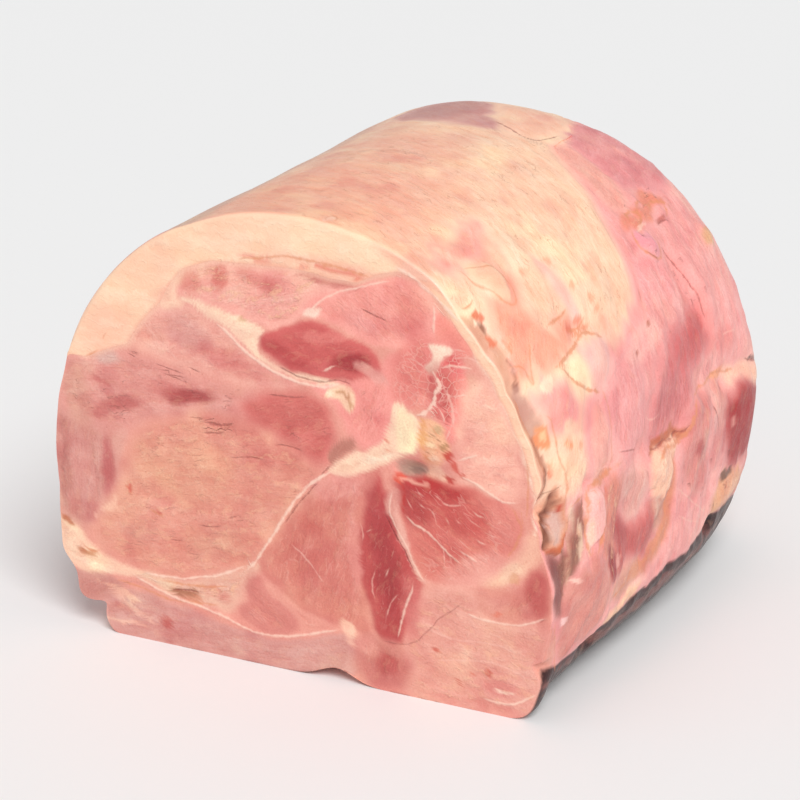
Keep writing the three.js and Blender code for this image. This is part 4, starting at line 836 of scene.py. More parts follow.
FLANK_THREADS = [Thread(*row) for row in (
    ("brown", 0.3, ((13, 57), (13, 52.5), (15, 48.5), (18, 45.3), (21, 44.4), (24, 47), (25.5, 50.5),
        (23.5, 53.6), (19, 54.6), (14.5, 56.5))),
    ("brown", 0.8, ((2, 50.5), (5, 49.6), (8, 50.5))),
    ("brown", 0.7, ((28, 38), (33, 37.7), (40, 38.4))),
    ("brown", 0.6, ((35, 35), (41, 34), (46, 35.4))),
    ("brown", 0.75, ((20, 30.4), (28, 31), (35, 31.6), (41, 33.2), (46, 31.8), (50, 30))),
    ("brown", 0.75, ((22, 30), (26, 27), (28.5, 24.4), (33, 23), (38.5, 21))),
    ("brown", 0.45, ((11, 3.6), (14, 4.2), (18, 5.2), (21, 5.8))),
    ("brown", 0.8, ((22, 5.6), (27, 5.5), (32.5, 5.2), (39, 5.6))),
    ("brown", 0.25, ((38, 6), (38.5, 10), (40, 16), (39.5, 22))),
    ("brown", 0.6, ((22, 5.4), (20.4, 1), (18, -3), (19, -6.4), (21.5, -8.6))),
    ("brown", 0.25, ((1.8, 30), (2, 24), (1.8, 18), (2, 12), (2.2, 8))),
    ("dark", 0.2, ((42, 8.2), (48, 7.4), (54, 6.2), (58, 5))),
    ("dark", 0.35, ((67, 3.6), (71, 2.6), (76, 3.6), (82, 2.2), (87, 3.2), (91, 2.2), (94, 3.4))),
    ("brown", 0.9, ((69, 0.8), (76, 2.4), (82, 1), (90, 1.2), (96, 4.2), (100, 7.6))),
    ("brown", 0.5, ((99, 43.2), (96.4, 41.8), (96, 39.6), (97.8, 37.2), (101, 35.8), (105, 35.8),
        (108, 37.8), (108, 40.6))),
    ("dark", 0.25, ((96.8, 38.8), (98.6, 36.8), (102, 35.8))),
    ("brown", 0.7, ((100.6, 44.6), (103, 46.6), (107.4, 46.4), (109, 44.6), (106.4, 43.4),
        (103, 43.6))),
    ("brown", 0.6, ((110, 46), (114, 47.6), (118, 46.4))),
    ("brown", 0.6, ((118.6, 44), (121, 46), (127, 45.4), (129, 42.8), (124, 41.4))),
    ("brown", 0.3, ((3, 36), (8, 34), (8, 29), (11, 33.6), (16, 37.6))),
    ("brown", 0.3, ((7, 24), (9.4, 21.4), (8, 16), (11, 10), (9, 5.4))),
    ("brown", 0.8, ((29, 4), (30.4, -1), (27, -5), (23, -8.6))),
    ("brown", 0.3, ((30.4, -13.6), (31.6, -17), (34, -21))),
    ("brown", 0.5, ((36, -20.6), (46, -19.6), (53, -19.4))),
    ("dark", 0.3, ((118, 82), (113, 77.5), (109.6, 73), (110.6, 70.4), (115, 69.3), (122.5, 68.6))),
    ("brown", 0.22, ((1.6, 82.6), (3, 84), (5.6, 83.6), (6.4, 82.4), (4, 81.8), (2.2, 82))),
    ("brown", 0.6, ((117, 44.4), (122, 46), (127, 45), (132, 43.6))),
    ("dark", 0.3, ((116.5, 41.2), (120, 41.6), (125, 40.6))),
    ("dark", 0.28, ((109, 38), (112.4, 34.8), (115.4, 30.4), (117.4, 26), (119, 20))),
    ("brown", 0.6, ((98, 8.6), (105, 8.6), (112, 8.4), (116, 9.2), (124, 8.6), (130, 7.2), (137, 6.8))),
    ("dark", 0.2, ((112, 6.6), (113, 4.6), (114, 2.4), (116, -0.2), (118.6, -3))),
    ("dark", 0.5, ((146, 7), (151, 6), (157, 4.6))),
    ("brown", 0.5, ((81, -1), (78, -6), (78.6, -12), (73.6, -16.4), (68, -18.4), (56.6, -18.6))),
    ("brown", 0.3, ((3, -18), (4, -21.5), (7, -26), (10, -30.5))),
    ("web", 0.3, ((84, -8), (94, -12), (104, -16), (112, -18.6))),
    ("web", 0.3, ((86, -14), (96, -17), (106, -19))),
    ("web", 0.25, ((98, 22), (104, 26.4), (108, 29.4))),
    ("web", 0.22, ((128, 15.4), (134, 15), (139, 14.6))),
    ("web", 0.25, ((64, 11.6), (68, 9), (74, 9.6))),
    ("brown", 0.45, ((24, 196), (60, 192.5), (100, 189), (150, 184))),
    ("brown", 0.45, ((10, 172), (40, 176), (74, 171), (96, 176), (130, 168))),
    ("dark", 0.4, ((12, 210.5), (50, 209.4), (90, 208), (130, 206.5))),
    ("pale", 0.5, ((30, 204), (60, 199), (88, 203), (120, 197))),
)]

# The fat's cut face. Its places are those of the lean's cut.
FAT_CUT = (255, 217, 188)
FAT_WASHES = [Wash(*row) for row in (
    ((255, 226, 196), (6, 143), (26, 6), 0, 0.6),
    ((250, 190, 170), (10, 135), (24, 3), -4, 0.6),
    ((255, 204, 178), (-72, 104), (12, 8), 50, 0.7),
    ((247, 178, 158), (-46, 120), (10, 3), 20, 0.6),
    ((255, 216, 188), (-60, 122), (14, 6), 45, 0.5),
    ((246, 178, 160), (34, 139), (16, 3), -30, 0.6),
    ((250, 200, 174), (68, 108), (12, 5), -60, 0.6),
    ((236, 140, 120), (8, 134.6), (8, 0.8), -8, 0.8),
    ((244, 170, 150), (-17, 135), (7, 0.9), 6, 0.8),
    ((240, 156, 136), (14, 134.6), (5, 0.9), -10, 0.7),
    ((244, 166, 146), (-2, 133.6), (3.0, 0.7), 6, 0.7),
)]


def section_radius(angle, u):
    """Radius of the plain section towards an angle, at a depth u behind the cut."""
    t = np.clip(u / LENGTH, 0, 1)
    full = np.where(t > BELLY_AT, 1.0, np.sin(np.pi * t / (2 * BELLY_AT)))
    c, s = np.cos(np.radians(angle)), np.sin(np.radians(angle))

    def grown(pair):
        return pair[0] + (pair[1] - pair[0]) * full

    across = np.where(c >= 0, grown(REACH_RIGHT), grown(REACH_LEFT))
    up = np.where(s >= 0, grown(REACH_UP), REACH_DOWN)
    high = np.where(c >= 0, grown(SQUARE_TOP_RIGHT), grown(SQUARE_TOP_LEFT))
    low = np.where(c >= 0, SQUARE_LOW_RIGHT, SQUARE_LOW_LEFT)
    power = np.where(s >= 0, high, low)
    return (np.abs(c / across) ** power + np.abs(s / up) ** power) ** (-1 / power)


def round_length(angle):
    """Length over which the rear end rounds off, seen along an angle."""
    s = np.sin(np.radians(angle))
    return ROUND_SIDE + (np.where(s >= 0, ROUND_TOP, ROUND_LOW) - ROUND_SIDE) * s * s


def rear_share(angle, u):
    """Share of the section's radius that is left at a depth u."""
    run = round_length(angle)
    into = np.clip((u - LENGTH + run) / run, 0, 1)
    return (1 - into**ROUND_POWER) ** (1 / ROUND_POWER)


def rear_depth(angle, share):
    """Depth at which a share of the radius is left."""
    into = (1 - share**ROUND_POWER) ** (1 / ROUND_POWER)
    return LENGTH - round_length(angle) * (1 - into)


def groove(crease, across, up):
    """Depth of a crease at offsets from its start."""
    run_x, run_y = crease.end[0] - crease.start[0], crease.end[1] - crease.start[1]
    along = np.clip((across * run_x + up * run_y) / (run_x**2 + run_y**2), 0, 1)
    gap = np.hypot(across - run_x * along, up - run_y * along)
    return crease.depth * bell(gap, crease.width)


def flank_relief(angle, u):
    """Relief of the skin in mm, outwards."""
    out = np.zeros(len(angle))
    for form in FLANK_FORMS:
        behind, around = u - form.at[0], turn(form.at[1], angle)
        out += form.height * bell(behind, form.spread[0]) * bell(around, form.spread[1])
    for crease in FLANK_CREASES:
        out -= groove(crease, u - crease.start[0], turn(crease.start[1], angle))
    side = turn(0, angle)
    pulled = smooth(*PULLED_LOW, side) * (1 - smooth(*PULLED_HIGH, side))
    return out - PULLED_DEPTH * pulled * bell(u, PULLED_RUN)


def fat_right_end(u):
    front = FAT_RIGHT_AT_CUT + (FAT_RIGHT_AT_WAIST - FAT_RIGHT_AT_CUT) * smooth(*FAT_WAIST_RUN, u)
    return front + (FAT_RIGHT_AT_REAR - front) * smooth(*FAT_REAR_RUN, u)


def fat_left_end(u):
    return FAT_LEFT_END + FAT_LEFT_WAVE * np.sin(u / FAT_LEFT_WAVE_RUN)


def fat_rear_end(across):
    """Rear end of the fat. Across runs from 0 at its right end to 1 at its left end."""
    wave = FAT_REAR_WAVE * np.sin(FAT_REAR_WAVES * across)
    return FAT_LENGTH - FAT_REAR_CORNER * (2 * across - 1) ** 4 + wave


def fat_depth(angle, u):
    """Thickness of the fat in mm: the measured one at the cut, worn thinner behind, none outside the cap."""
    angle = turn(0, angle - 90) + 90
    right, left = fat_right_end(u), fat_left_end(u)
    across = np.clip((angle - right) / (left - right), 0, 1)
    places, sizes = np.array(FAT_THICKNESS).T
    full = np.interp(angle, places, sizes)
    before, after = np.interp(angle - FAT_EVEN, places, sizes), np.interp(angle + FAT_EVEN, places, sizes)
    full = full + ((before + full + after) / 3 - full) * smooth(*FAT_EVEN_RUN, u)
    full *= 1 + (FAT_WORN - 1) * smooth(*FAT_WORN_RUN, u)
    edge = np.minimum(angle - right, left - angle) * SKIN_MM
    end = smooth(*FAT_END_RUN, fat_rear_end(across) - u)
    return np.maximum(full * smooth(*FAT_EDGE_RUN, edge) * end, 0)


def skin_radius(angle, u):
    """Radius of the ham's skin, with all its lumps, at a depth u behind the cut."""
    u = np.maximum(u, 0)
    plain = section_radius(angle, u)
    turned = np.radians(angle)
    spots = np.column_stack((plain * np.cos(turned), u, plain * np.sin(turned)))
    bare = 1 - smooth(0, 3, fat_depth(angle, u))
    rough = SKIN_LUMPS * lumps(spots, 24, 2, 3.0) + bare * (BARE_LUMPS * lumps(spots, 17, 3, 8.0))
    rough += FINE_LUMPS * bare * lumps(spots * (1, 2.2, 1), 9, 2, 21.0)
    side = turn(0, angle)
    torn = smooth(*TORN_FROM, side) * (1 - smooth(*TORN_TO, side)) * (1 - smooth(*TORN_REAR, u))
    slant = np.column_stack((u * 0.8 - side * SKIN_MM * 0.5, u * 0.16 + side * SKIN_MM * 0.22, 0 * u))
    rough += torn * TORN_LUMPS * lumps(slant, 4.4, 2, 33.0)
    rim = EDGE_ROUND * bell(u, EDGE_RUN)
    return (plain + flank_relief(angle, u) + rough - rim) * rear_share(angle, u)


def lean_radius(angle, u):
    """Radius of the lean: the skin, or the bed under the fat."""
    return skin_radius(angle, u) - np.maximum(fat_depth(angle, np.maximum(u, 0)) - FAT_SEAT, 0)


def undercut(angle, u):
    """How far the right side of the foot stands back under the flank."""
    side = turn(0, angle)
    below = 1 - smooth(*UNDERCUT_ANGLES, side)
    run = smooth(*UNDERCUT_START, u) * (1 - smooth(*UNDERCUT_END, u))
    return UNDERCUT_DEPTH * below * smooth(*UNDERCUT_LEFT, side) * run


def foot_arch(x, u):
    return ARCH_HEIGHT * bell(x - ARCH_X, ARCH_HALF) * bell(u, ARCH_RUN)


def rear_relief(x, z):
    """Depth of the folds of the rear end."""
    inwards = np.zeros(len(x))
    for crease in REAR_CREASES:
        inwards += groove(crease, x - crease.start[0], z - crease.start[1])
    return inwards


def place(angle, u, radius):
    """Points in mm at an angle, a depth behind the cut and a distance from the axis."""
    depth = np.maximum(u, 0)
    turned = np.radians(angle)
    x = AXIS_X + REAR_LEAN * depth / LENGTH + radius * np.cos(turned) - undercut(angle, depth)
    z = np.maximum(AXIS_Z + radius * np.sin(turned), foot_arch(x, depth))
    behind = rear_relief(x, z) * smooth(LENGTH - REAR_RELIEF_RUN, LENGTH, depth)
    return np.column_stack((x, u - LENGTH / 2 - behind, z))


def rounded(points, closed, rounds=2):
    """A line of points with its corners cut, so that it runs in curves."""
    line = np.array(points, float)
    for _ in range(rounds):
        ahead = np.roll(line, -1, axis=0) if closed else line[1:]
        here = line if closed else line[:-1]
        cut = np.stack((0.75 * here + 0.25 * ahead, 0.25 * here + 0.75 * ahead), axis=1).reshape(-1, 2)
        line = cut if closed else np.vstack((line[:1], cut, line[-1:]))
    return line


def line_offset(points, line):
    """Signed distance to a line, positive on its left, and the distance along it to its nearer end."""
    best = np.full(len(points), np.inf)
    side = np.ones(len(points))
    reach = np.zeros(len(points))
    lengths = np.hypot(*(line[1:] - line[:-1]).T)
    done = np.concatenate(([0], np.cumsum(lengths)))
    for here, ahead, start, length in zip(line[:-1], line[1:], done, lengths):
        if length < 1e-9:
            continue
        run, off = ahead - here, points - here
        along = np.clip(off @ run / length**2, 0, 1)
        gap = np.hypot(off[:, 0] - run[0] * along, off[:, 1] - run[1] * along)
        nearer = gap < best
        best = np.where(nearer, gap, best)
        side = np.where(nearer, np.where(run[0] * off[:, 1] - run[1] * off[:, 0] < 0, -1.0, 1.0), side)
        reach = np.where(nearer, start + along * length, reach)
    return side * best, np.minimum(reach, done[-1] - reach)


def outline_depth(points, outline):
    """Signed distance to a closed outline in mm, positive inside."""
    line = rounded(outline, True)
    best = np.full(len(points), np.inf)
    inside = np.zeros(len(points), bool)
    for here, ahead in zip(line, np.roll(line, -1, axis=0)):
        run, off = ahead - here, points - here
        along = np.clip(off @ run / max(run @ run, 1e-9), 0, 1)
        best = np.minimum(best, np.hypot(off[:, 0] - run[0] * along, off[:, 1] - run[1] * along))
        crosses = (here[1] > points[:, 1]) != (ahead[1] > points[:, 1])
        height = np.where(run[1] == 0, 1e-9, run[1])
        inside ^= crosses & (points[:, 0] < here[0] + (points[:, 1] - here[1]) * run[0] / height)
    return np.where(inside, best, -best)


@dataclass
class Coat:
    """What is noted at each point of a mesh: for its material and, as a level, for its low relief."""
    tone: np.ndarray
    feel: np.ndarray
    fibre: np.ndarray
    lines: dict
    level: np.ndarray

    @classmethod
    def plain(cls, count, colour, feel, points):
        """A coat of one tone and grain, with fibres along the first direction of its points."""
        tone = np.tile(paint(*colour), (count, 1))
        grain = np.tile(np.array(feel, float), (count, 1))
        fibre = np.column_stack((points, np.ones(count)))
        lines = {kind: np.tile((NO_THREAD, 0.0), (count, 1)) for kind in THREAD_KINDS}
        return cls(tone, grain, fibre, lines, np.zeros(count))

    def take(self, cut, face, edge):
        """Lay a cut's coat on the points of its face. No line or streak crosses the edge."""
        for name in ("tone", "feel", "fibre", "level"):
            getattr(self, name)[face] = getattr(cut, name)
        for kind in THREAD_KINDS:
            self.lines[kind][face] = cut.lines[kind]
            self.lines[kind][edge, 1] = 0
        self.fibre[edge, 2] = 0


def wandered(points, depth, reach, feather=0.0):
    """Places shifted by up to about reach mm, so that what is laid on them gets uneven edges.

    Feather shifts them further, in narrow strips along the second direction, so that edges end in strands."""
    spots = np.column_stack((points, depth))
    broad = np.column_stack((lumps(spots, 12, 3, 31.0), lumps(spots, 12, 3, 57.0)))
    fine = np.column_stack((lumps(spots, 3.5, 2, 13.0), lumps(spots, 3.5, 2, 17.0)))
    strips = lumps(spots * (1, 0.16, 0), 3.2, 2, 19.0)
    return points + reach * broad + 0.45 * fine + np.column_stack((0 * strips, feather * strips))


def mottle(coat, spots, strength):
    """Uneven warmer, cooler, lighter and darker places of 4 to 14 mm."""
    warm, cool = smooth(0.1, 0.9, lumps(spots, 13, 3, 41.0)), smooth(0.1, 0.9, lumps(spots, 10, 3, 43.0))
    coat.tone += (coat.tone * WARMER - coat.tone) * (MOTTLE_SHARE * strength * warm)[:, None]
    coat.tone += (coat.tone * COOLER - coat.tone) * (MOTTLE_SHARE * strength * cool)[:, None]
    coat.tone *= 1 + strength * lumps(spots, 5, 3, 47.0)[:, None] * DAPPLE


def lay_patches(coat, points, patches, depth, wander, scale=1.0, feather=0.0):
    """Blend patches of tissue into a coat. Points are places in mm, depth runs into the meat."""
    bent = wandered(points, depth, wander, feather)
    for patch in patches:
        outline = np.array(patch.outline, float) * (1, scale)
        inside = outline_depth(bent, outline)
        weight = smooth(-patch.soft, patch.soft, inside)[:, None]
        coat.tone += (paint(*patch.colour) - coat.tone) * weight
        coat.feel += (np.array((patch.streak, patch.net, patch.fleck, patch.vein)) - coat.feel) * weight
        groove_here = PATCH_GROOVE * bell(inside, PATCH_GROOVE_WIDE)
        coat.level += (patch.level - coat.level) * weight[:, 0] - groove_here
        lie = math.radians(patch.lie)
        off = points - outline.mean(axis=0)
        along = off[:, 0] * math.cos(lie) + off[:, 1] * math.sin(lie)
        across = off[:, 1] * math.cos(lie) - off[:, 0] * math.sin(lie)
        mine = inside > 0
        coat.fibre[mine, :2] = np.column_stack((along, across))[mine]
        clear = smooth(*STREAKS_FADE, np.abs(inside))
        coat.fibre[:, 2] = np.where(mine, clear, np.minimum(coat.fibre[:, 2], clear))


def lay_washes(coat, points, washes, wander, scale=1.0):
    """Blend washes of colour into a coat. The smaller a wash, the more ragged and the crisper its edge."""
    bent = wandered(points, np.zeros(len(points)), wander)
    ragged = lumps(np.column_stack((points, 0 * points[:, 0])), 2.2, 3, 61.0)
    for wash in washes:
        tilt = math.radians(wash.tilt)
        off = bent - np.array(wash.at) * (1, scale)
        wide = (off[:, 0] * math.cos(tilt) + off[:, 1] * math.sin(tilt)) / wash.radii[0]
        high = (off[:, 1] * math.cos(tilt) - off[:, 0] * math.sin(tilt)) / (wash.radii[1] * scale)
        small = 1 - smooth(RAGGED_BELOW, SMOOTH_ABOVE, min(wash.radii))
        reach = np.hypot(wide, high) + RAGGED_BY * small * ragged
        full, end = WASH_FULL + SMALL_FULL * small, WASH_END - SMALL_END * small
        weight = wash.strength * (1 - smooth(full, end, reach))
        coat.tone += (paint(*wash.colour) - coat.tone) * weight[:, None]


def lay_threads(coat, points, threads, scale=1.0):
    """Note the nearest thread of each kind: its offset and its half width, thin at its ends."""
    for thread in threads:
        line = rounded(np.array(thread.points, float) * (1, scale), False)
        offset, reach = line_offset(points, line)
        half = thread.half * smooth(*THREAD_TAPER, reach) * (1 - smooth(*THREAD_SIDES, np.abs(offset)))
        kept = coat.lines[thread.kind]
        nearer = np.abs(offset) < np.abs(kept[:, 0])
        kept[nearer] = np.column_stack((offset, half))[nearer]


def cut_coat(spots):
    """The coat of the cut face."""
    points = np.column_stack((spots[:, 0] - CUT_MIDDLE, spots[:, 2]))
    depth = spots[:, 1] + LENGTH / 2
    coat = Coat.plain(len(spots), CUT_BASE, CUT_FEEL, points)
    lay_patches(coat, points, CUT_PATCHES, depth, 0.8)
    lay_washes(coat, points, CUT_WASHES, 1.2)
    mottle(coat, spots, 1.0)
    lay_threads(coat, points, CUT_THREADS)
    return coat


def skin_coat(spots, angle, u):
    """The coat of the flanks, the top and the rear."""
    side = turn(0, angle - 90) + 90
    points = np.column_stack((u, side * SKIN_MM))
    coat = Coat.plain(len(spots), FLANK_BASE, SKIN_FEEL, points[:, ::-1])
    broad, warm = lumps(spots, 34, 3, 71.0), lumps(spots, 22, 3, 83.0)
    hidden = np.maximum(smooth(100, 140, side), smooth(140, 170, u))[:, None]
    mauve, cream = paint(*HIDDEN_MAUVE), paint(*HIDDEN_CREAM)
    coat.tone += (mauve - coat.tone) * hidden * smooth(0.05, 0.5, broad)[:, None] * 0.8
    coat.tone += (cream - coat.tone) * hidden * smooth(0.1, 0.5, warm)[:, None] * 0.8
    flat = np.zeros(len(spots))
    lay_patches(coat, points, FLANK_PATCHES, flat, 1.2, SKIN_MM, 1.8)
    # The underside is painted near black, as the shade under the ham.
    lay_patches(coat, points, FOOT_UNDERSIDE_SHADE, flat, 0.5, SKIN_MM)
    top = smooth(100, 120, side) * (1 - smooth(156, 162, side)) * smooth(-0.2, 0.5, broad)
    coat.tone += (paint(*TOP_TONE) - coat.tone) * 0.5 * top[:, None]
    rear = rear_relief(spots[:, 0], spots[:, 2]) * smooth(150, 176, u) / 4
    coat.tone += (paint(*FOLD_TONE) - coat.tone) * 0.8 * np.clip(rear, 0, 1)[:, None]
    foot = 1 - smooth(0.2, 1.6, spots[:, 2])
    coat.tone += (paint(*FOOT_TONE) - coat.tone) * foot[:, None]
    lay_washes(coat, points, FLANK_WASHES, 1.2, SKIN_MM)
    mottle(coat, spots, 0.8)
    lay_threads(coat, points, FLANK_THREADS, SKIN_MM)
    reach = np.hypot(spots[:, 0] - AXIS_X - REAR_LEAN, spots[:, 2] - AXIS_Z)
    meeting = np.radians(np.minimum(side + 90, 270 - side)) * reach
    bend = smooth(*BEND_SIDE, side) * smooth(*BEND_START, u)
    coat.feel[:, 2:] *= (1 - bend)[:, None]
    past = 1 - bend * (1 - smooth(*BEND_END, u))
    for fading in (smooth(*STREAKS_FADE, meeting), smooth(*POLE_RUN, reach), past):
        coat.fibre[:, 2] = np.minimum(coat.fibre[:, 2], fading)
    return coat


def turned_blank(across, steps):
    """A square sheet whose rim is drawn back in steps and closed to a point. Z counts the steps."""
    blank = bmesh.new()
    bmesh.ops.create_grid(blank, x_segments=across, y_segments=across, size=0.5)
    rim = [edge for edge in blank.edges if edge.is_boundary]
    for edge in rim:
        edge.smooth = False
    for _ in range(steps):
        drawn = bmesh.ops.extrude_edge_only(blank, edges=rim)["geom"]
        rim = [item for item in drawn if isinstance(item, bmesh.types.BMEdge) and item.is_boundary]
        corners = [item for item in drawn if isinstance(item, bmesh.types.BMVert)]
        bmesh.ops.translate(blank, vec=(0, 0, 1), verts=corners)
    bmesh.ops.pointmerge(blank, verts=corners, merge_co=(0, 0, steps))
    bmesh.ops.recalc_face_normals(blank, faces=blank.faces)
    return blank


def slab_blank(around, deep, along):
    """A cube from -0.5 to 0.5, cut into strips along each of its three axes."""
    blank = bmesh.new()
    bmesh.ops.create_cube(blank, size=1)
    for axis, parts in enumerate((around, deep, along)):
        lying = [edge for edge in blank.edges if abs(edge.verts[0].co[axis] - edge.verts[1].co[axis]) > 0.5]
        bmesh.ops.subdivide_edges(blank, edges=lying, cuts=parts - 1, use_grid_fill=True)
    for edge in blank.edges:
        ends = [corner.co for corner in edge.verts]
        rim = sum(all(abs(abs(end[axis]) - 0.5) < 1e-4 for end in ends) for axis in range(3)) > 1
        edge.smooth = not rim or all(end.y > 0.4 and end.z < -0.4 for end in ends)
    bmesh.ops.recalc_face_normals(blank, faces=blank.faces)
    return blank


def finish_piece(name, blank, mould):
    """Make an object from a blank whose points are moved, and coated, by a function."""
    mesh = bpy.data.meshes.new(name)
    blank.to_mesh(mesh)
    blank.free()
    start = np.empty(len(mesh.vertices) * 3)
    mesh.vertices.foreach_get("co", start)
    spots, coat = mould(start.reshape(-1, 3))
    mesh.vertices.foreach_set("co", (spots * MM).ravel())
    write = {
        "tone": ("FLOAT_COLOR", "color", np.column_stack((coat.tone**TONE_DEPTH, np.ones(len(spots))))),
        "feel": ("FLOAT_COLOR", "color", coat.feel),
        "fibre": ("FLOAT_VECTOR", "vector", coat.fibre),
        "threads": ("FLOAT_COLOR", "color", np.hstack((coat.lines["pale"], coat.lines["web"]))),
        "seams": ("FLOAT_COLOR", "color", np.hstack((coat.lines["dark"], coat.lines["brown"]))),
    }
    for label, (kind, field, values) in write.items():
        mesh.attributes.new(label, kind, "POINT").data.foreach_set(field, values.ravel())
    mesh.polygons.foreach_set("use_smooth", np.ones(len(mesh.polygons), bool))
    mesh.update()
    piece = bpy.data.objects.new(name, mesh)
    bpy.context.scene.collection.objects.link(piece)
    return piece


def ring_angle(across, up):
    """Angle on a square ring, even along its sides."""
    wide = np.abs(across) >= np.abs(up)
    share = 45 * np.where(wide, up, across) / np.maximum(np.maximum(np.abs(across), np.abs(up)), 1e-9)
    flat = np.where(across > 0, share, 180 - share)
    tall = np.where(up > 0, 90 - share, 270 + share)
    return np.where(wide, flat, tall)


def crowded(angle):
    """Move columns of points to the flanks, away from the bed of the fat and from the foot."""
    turns = np.linspace(-135, 225, 361)
    weight = 0.7 + 1.1 * smooth(-62, -44, turns) * (1 - smooth(50, 85, turns)) + 0.4 * smooth(145, 160, turns)
    done = np.concatenate(([0], np.cumsum((weight[1:] + weight[:-1]) / 2)))
    return np.interp(turn(45, angle) + 45, 360 * done / done[-1] - 135, turns)


def raise_skin(spots, angle, level):
    """Move points of the skin out by the level of the patch that they lie in, but not on the foot."""
    turned = np.radians(angle)
    lift = SKIN_LEVEL * level * smooth(*FOOT_RUN, spots[:, 2])
    spots[:, 0] += lift * np.cos(turned)
    spots[:, 2] += lift * np.sin(turned)


def mould_lean(blank):
    """Front of the blank to the cut face, its drawn rim to the skin and the rounded rear end."""
    across, up, step = -blank[:, 0], blank[:, 1], blank[:, 2]
    ring = 2 * np.maximum(np.abs(across), np.abs(up))
    even = ring_angle(across, up)
    angle = even + turn(even, crowded(even)) * ring**2
    behind = np.clip((step - LEAN_SIDE) / LEAN_REAR, 0, 1)
    angle = np.where(behind >= 1, 0, angle)
    t = np.clip(step / LEAN_SIDE, 0, 1)
    back = np.where(behind > 0, 1, LEAN_EVEN * t + (1 - LEAN_EVEN) * t * t)
    u = rear_depth(angle, REAR_CAP * (1 - behind)) * back
    front = step < 0.5
    spots = place(angle, u, np.where(front, ring, 1) * lean_radius(angle, u))
    coat = skin_coat(spots, angle, u)
    raise_skin(spots, angle, coat.level * ~front * (1 - smooth(0.3, 1.5, fat_depth(angle, u))))
    face = np.flatnonzero(front)
    edge = (front & (ring > 1 - 0.5 / LEAN_ACROSS)) | (step == 1)
    cut = cut_coat(spots[face])
    coat.take(cut, face, edge)
    bed = ((1 - ring) * lean_radius(angle, u))[face]
    under_fat = smooth(1.5, 5, fat_depth(angle, u)[face])
    beside = (under_fat * 0.85 * bell(bed, 1.7))[:, None]
    coat.tone[face] += (paint(*BED_TONE) - coat.tone[face]) * beside
    x, z = spots[face, 0] - CUT_MIDDLE, spots[face, 2]
    sawn = SAWN_LUMPS * lumps(spots[face], 11, 3, 5.0) + SAWN_LEVEL * cut.level
    dark, pale = cut.lines["dark"], cut.lines["pale"]
    sawn -= SAWN_GROOVE * bell(dark[:, 0], 1.0) * np.minimum(dark[:, 1] * 4, 1)
    sawn += SAWN_RIDGE * bell(pale[:, 0], 1.0) * np.minimum(pale[:, 1] * 3, 1)
    pit = PIT_DEPTH * bell(x - PIT_X, PIT_WIDE) * bell(z - PIT_Z, PIT_HIGH)
    spots[face, 1] += pit - sawn * (1 - smooth(*SAWN_RIM, ring[face]))
    return spots, coat


def mould_fat(blank):
    """The slab bent round the ham: its outer side to the skin, its inner side into the bed."""
    across, deep, t = blank[:, 0] + 0.5, blank[:, 1] + 0.5, blank[:, 2] + 0.5
    u = fat_rear_end(across) * (FAT_EVEN_STEPS * t + (1 - FAT_EVEN_STEPS) * t * t)
    right, left = fat_right_end(u), fat_left_end(u)
    angle = right + (left - right) * across
    skin = skin_radius(angle, u)
    inner = skin - np.maximum(fat_depth(angle, u), FAT_FEATHER)
    outer = skin + FAT_PROUD + FAT_PROUD_BEHIND * smooth(*FAT_BEHIND_RUN, u)
    front = t < 1e-6
    spots = place(angle, np.where(front, -FAT_PROUD, u), inner + (outer - inner) * deep)
    coat = skin_coat(spots, angle, u)
    raise_skin(spots, angle, coat.level * ~front * deep)
    face = np.flatnonzero(front)
    edge = (front & (deep > 1 - 0.5 / FAT_DEEP)) | (~front & (t < 1.5 / FAT_ALONG))
    points = np.column_stack((spots[face, 0] - CUT_MIDDLE, spots[face, 2]))
    cut = Coat.plain(len(face), FAT_CUT, FAT_CUT_FEEL, points)
    lay_washes(cut, points, FAT_WASHES, 1.0)
    lining = 1 - smooth(0, 1.2, (deep * (outer - inner))[face])
    cut.tone += (paint(*LINING_TONE) - cut.tone) * (0.6 * lining)[:, None]
    mottle(cut, spots[face], 0.25)
    lay_threads(cut, points, CUT_THREADS)
    coat.take(cut, face, edge)
    return spots, coat


def node(tree, kind, inputs=None, **settings):
    """A node with its settings and with its inputs set or linked."""
    made = tree.nodes.new(kind)
    for name, value in settings.items():
        setattr(made, name, value)
    for key, value in (inputs or {}).items():
        if isinstance(value, bpy.types.NodeSocket):
            tree.links.new(value, made.inputs[key])
        else:
            made.inputs[key].default_value = value
    return made


def sum_of(tree, operation, *values, clamp=False):
    made = node(tree, "ShaderNodeMath", dict(enumerate(values)), operation=operation, use_clamp=clamp)
    return made.outputs[0]


def times(tree, first, second):
    return sum_of(tree, "MULTIPLY", first, second)


def ramp(tree, value, low, high, start=0.0, end=1.0):
    """Value taken from low..high to start..end, and held at the ends."""
    wires = {"Value": value, "From Min": low, "From Max": high, "To Min": start, "To Max": end}
    return node(tree, "ShaderNodeMapRange", wires).outputs["Result"]


def blend(tree, factor, under, over, mode="MIX"):
    """Mix two colours. The colour sockets of the node are numbers 6 and 7 in and 2 out."""
    made = node(tree, "ShaderNodeMix", {0: factor, 6: under, 7: over}, data_type="RGBA", blend_type=mode)
    return made.outputs[2]


def stretched(tree, vector, scale):
    made = node(tree, "ShaderNodeVectorMath", {0: vector, 1: scale}, operation="MULTIPLY")
    return made.outputs[0]


def noise_of(tree, vector, scale, detail=2.0, roughness=0.5):
    wires = {"Vector": vector, "Scale": scale, "Detail": detail, "Roughness": roughness}
    return node(tree, "ShaderNodeTexNoise", wires).outputs[0]


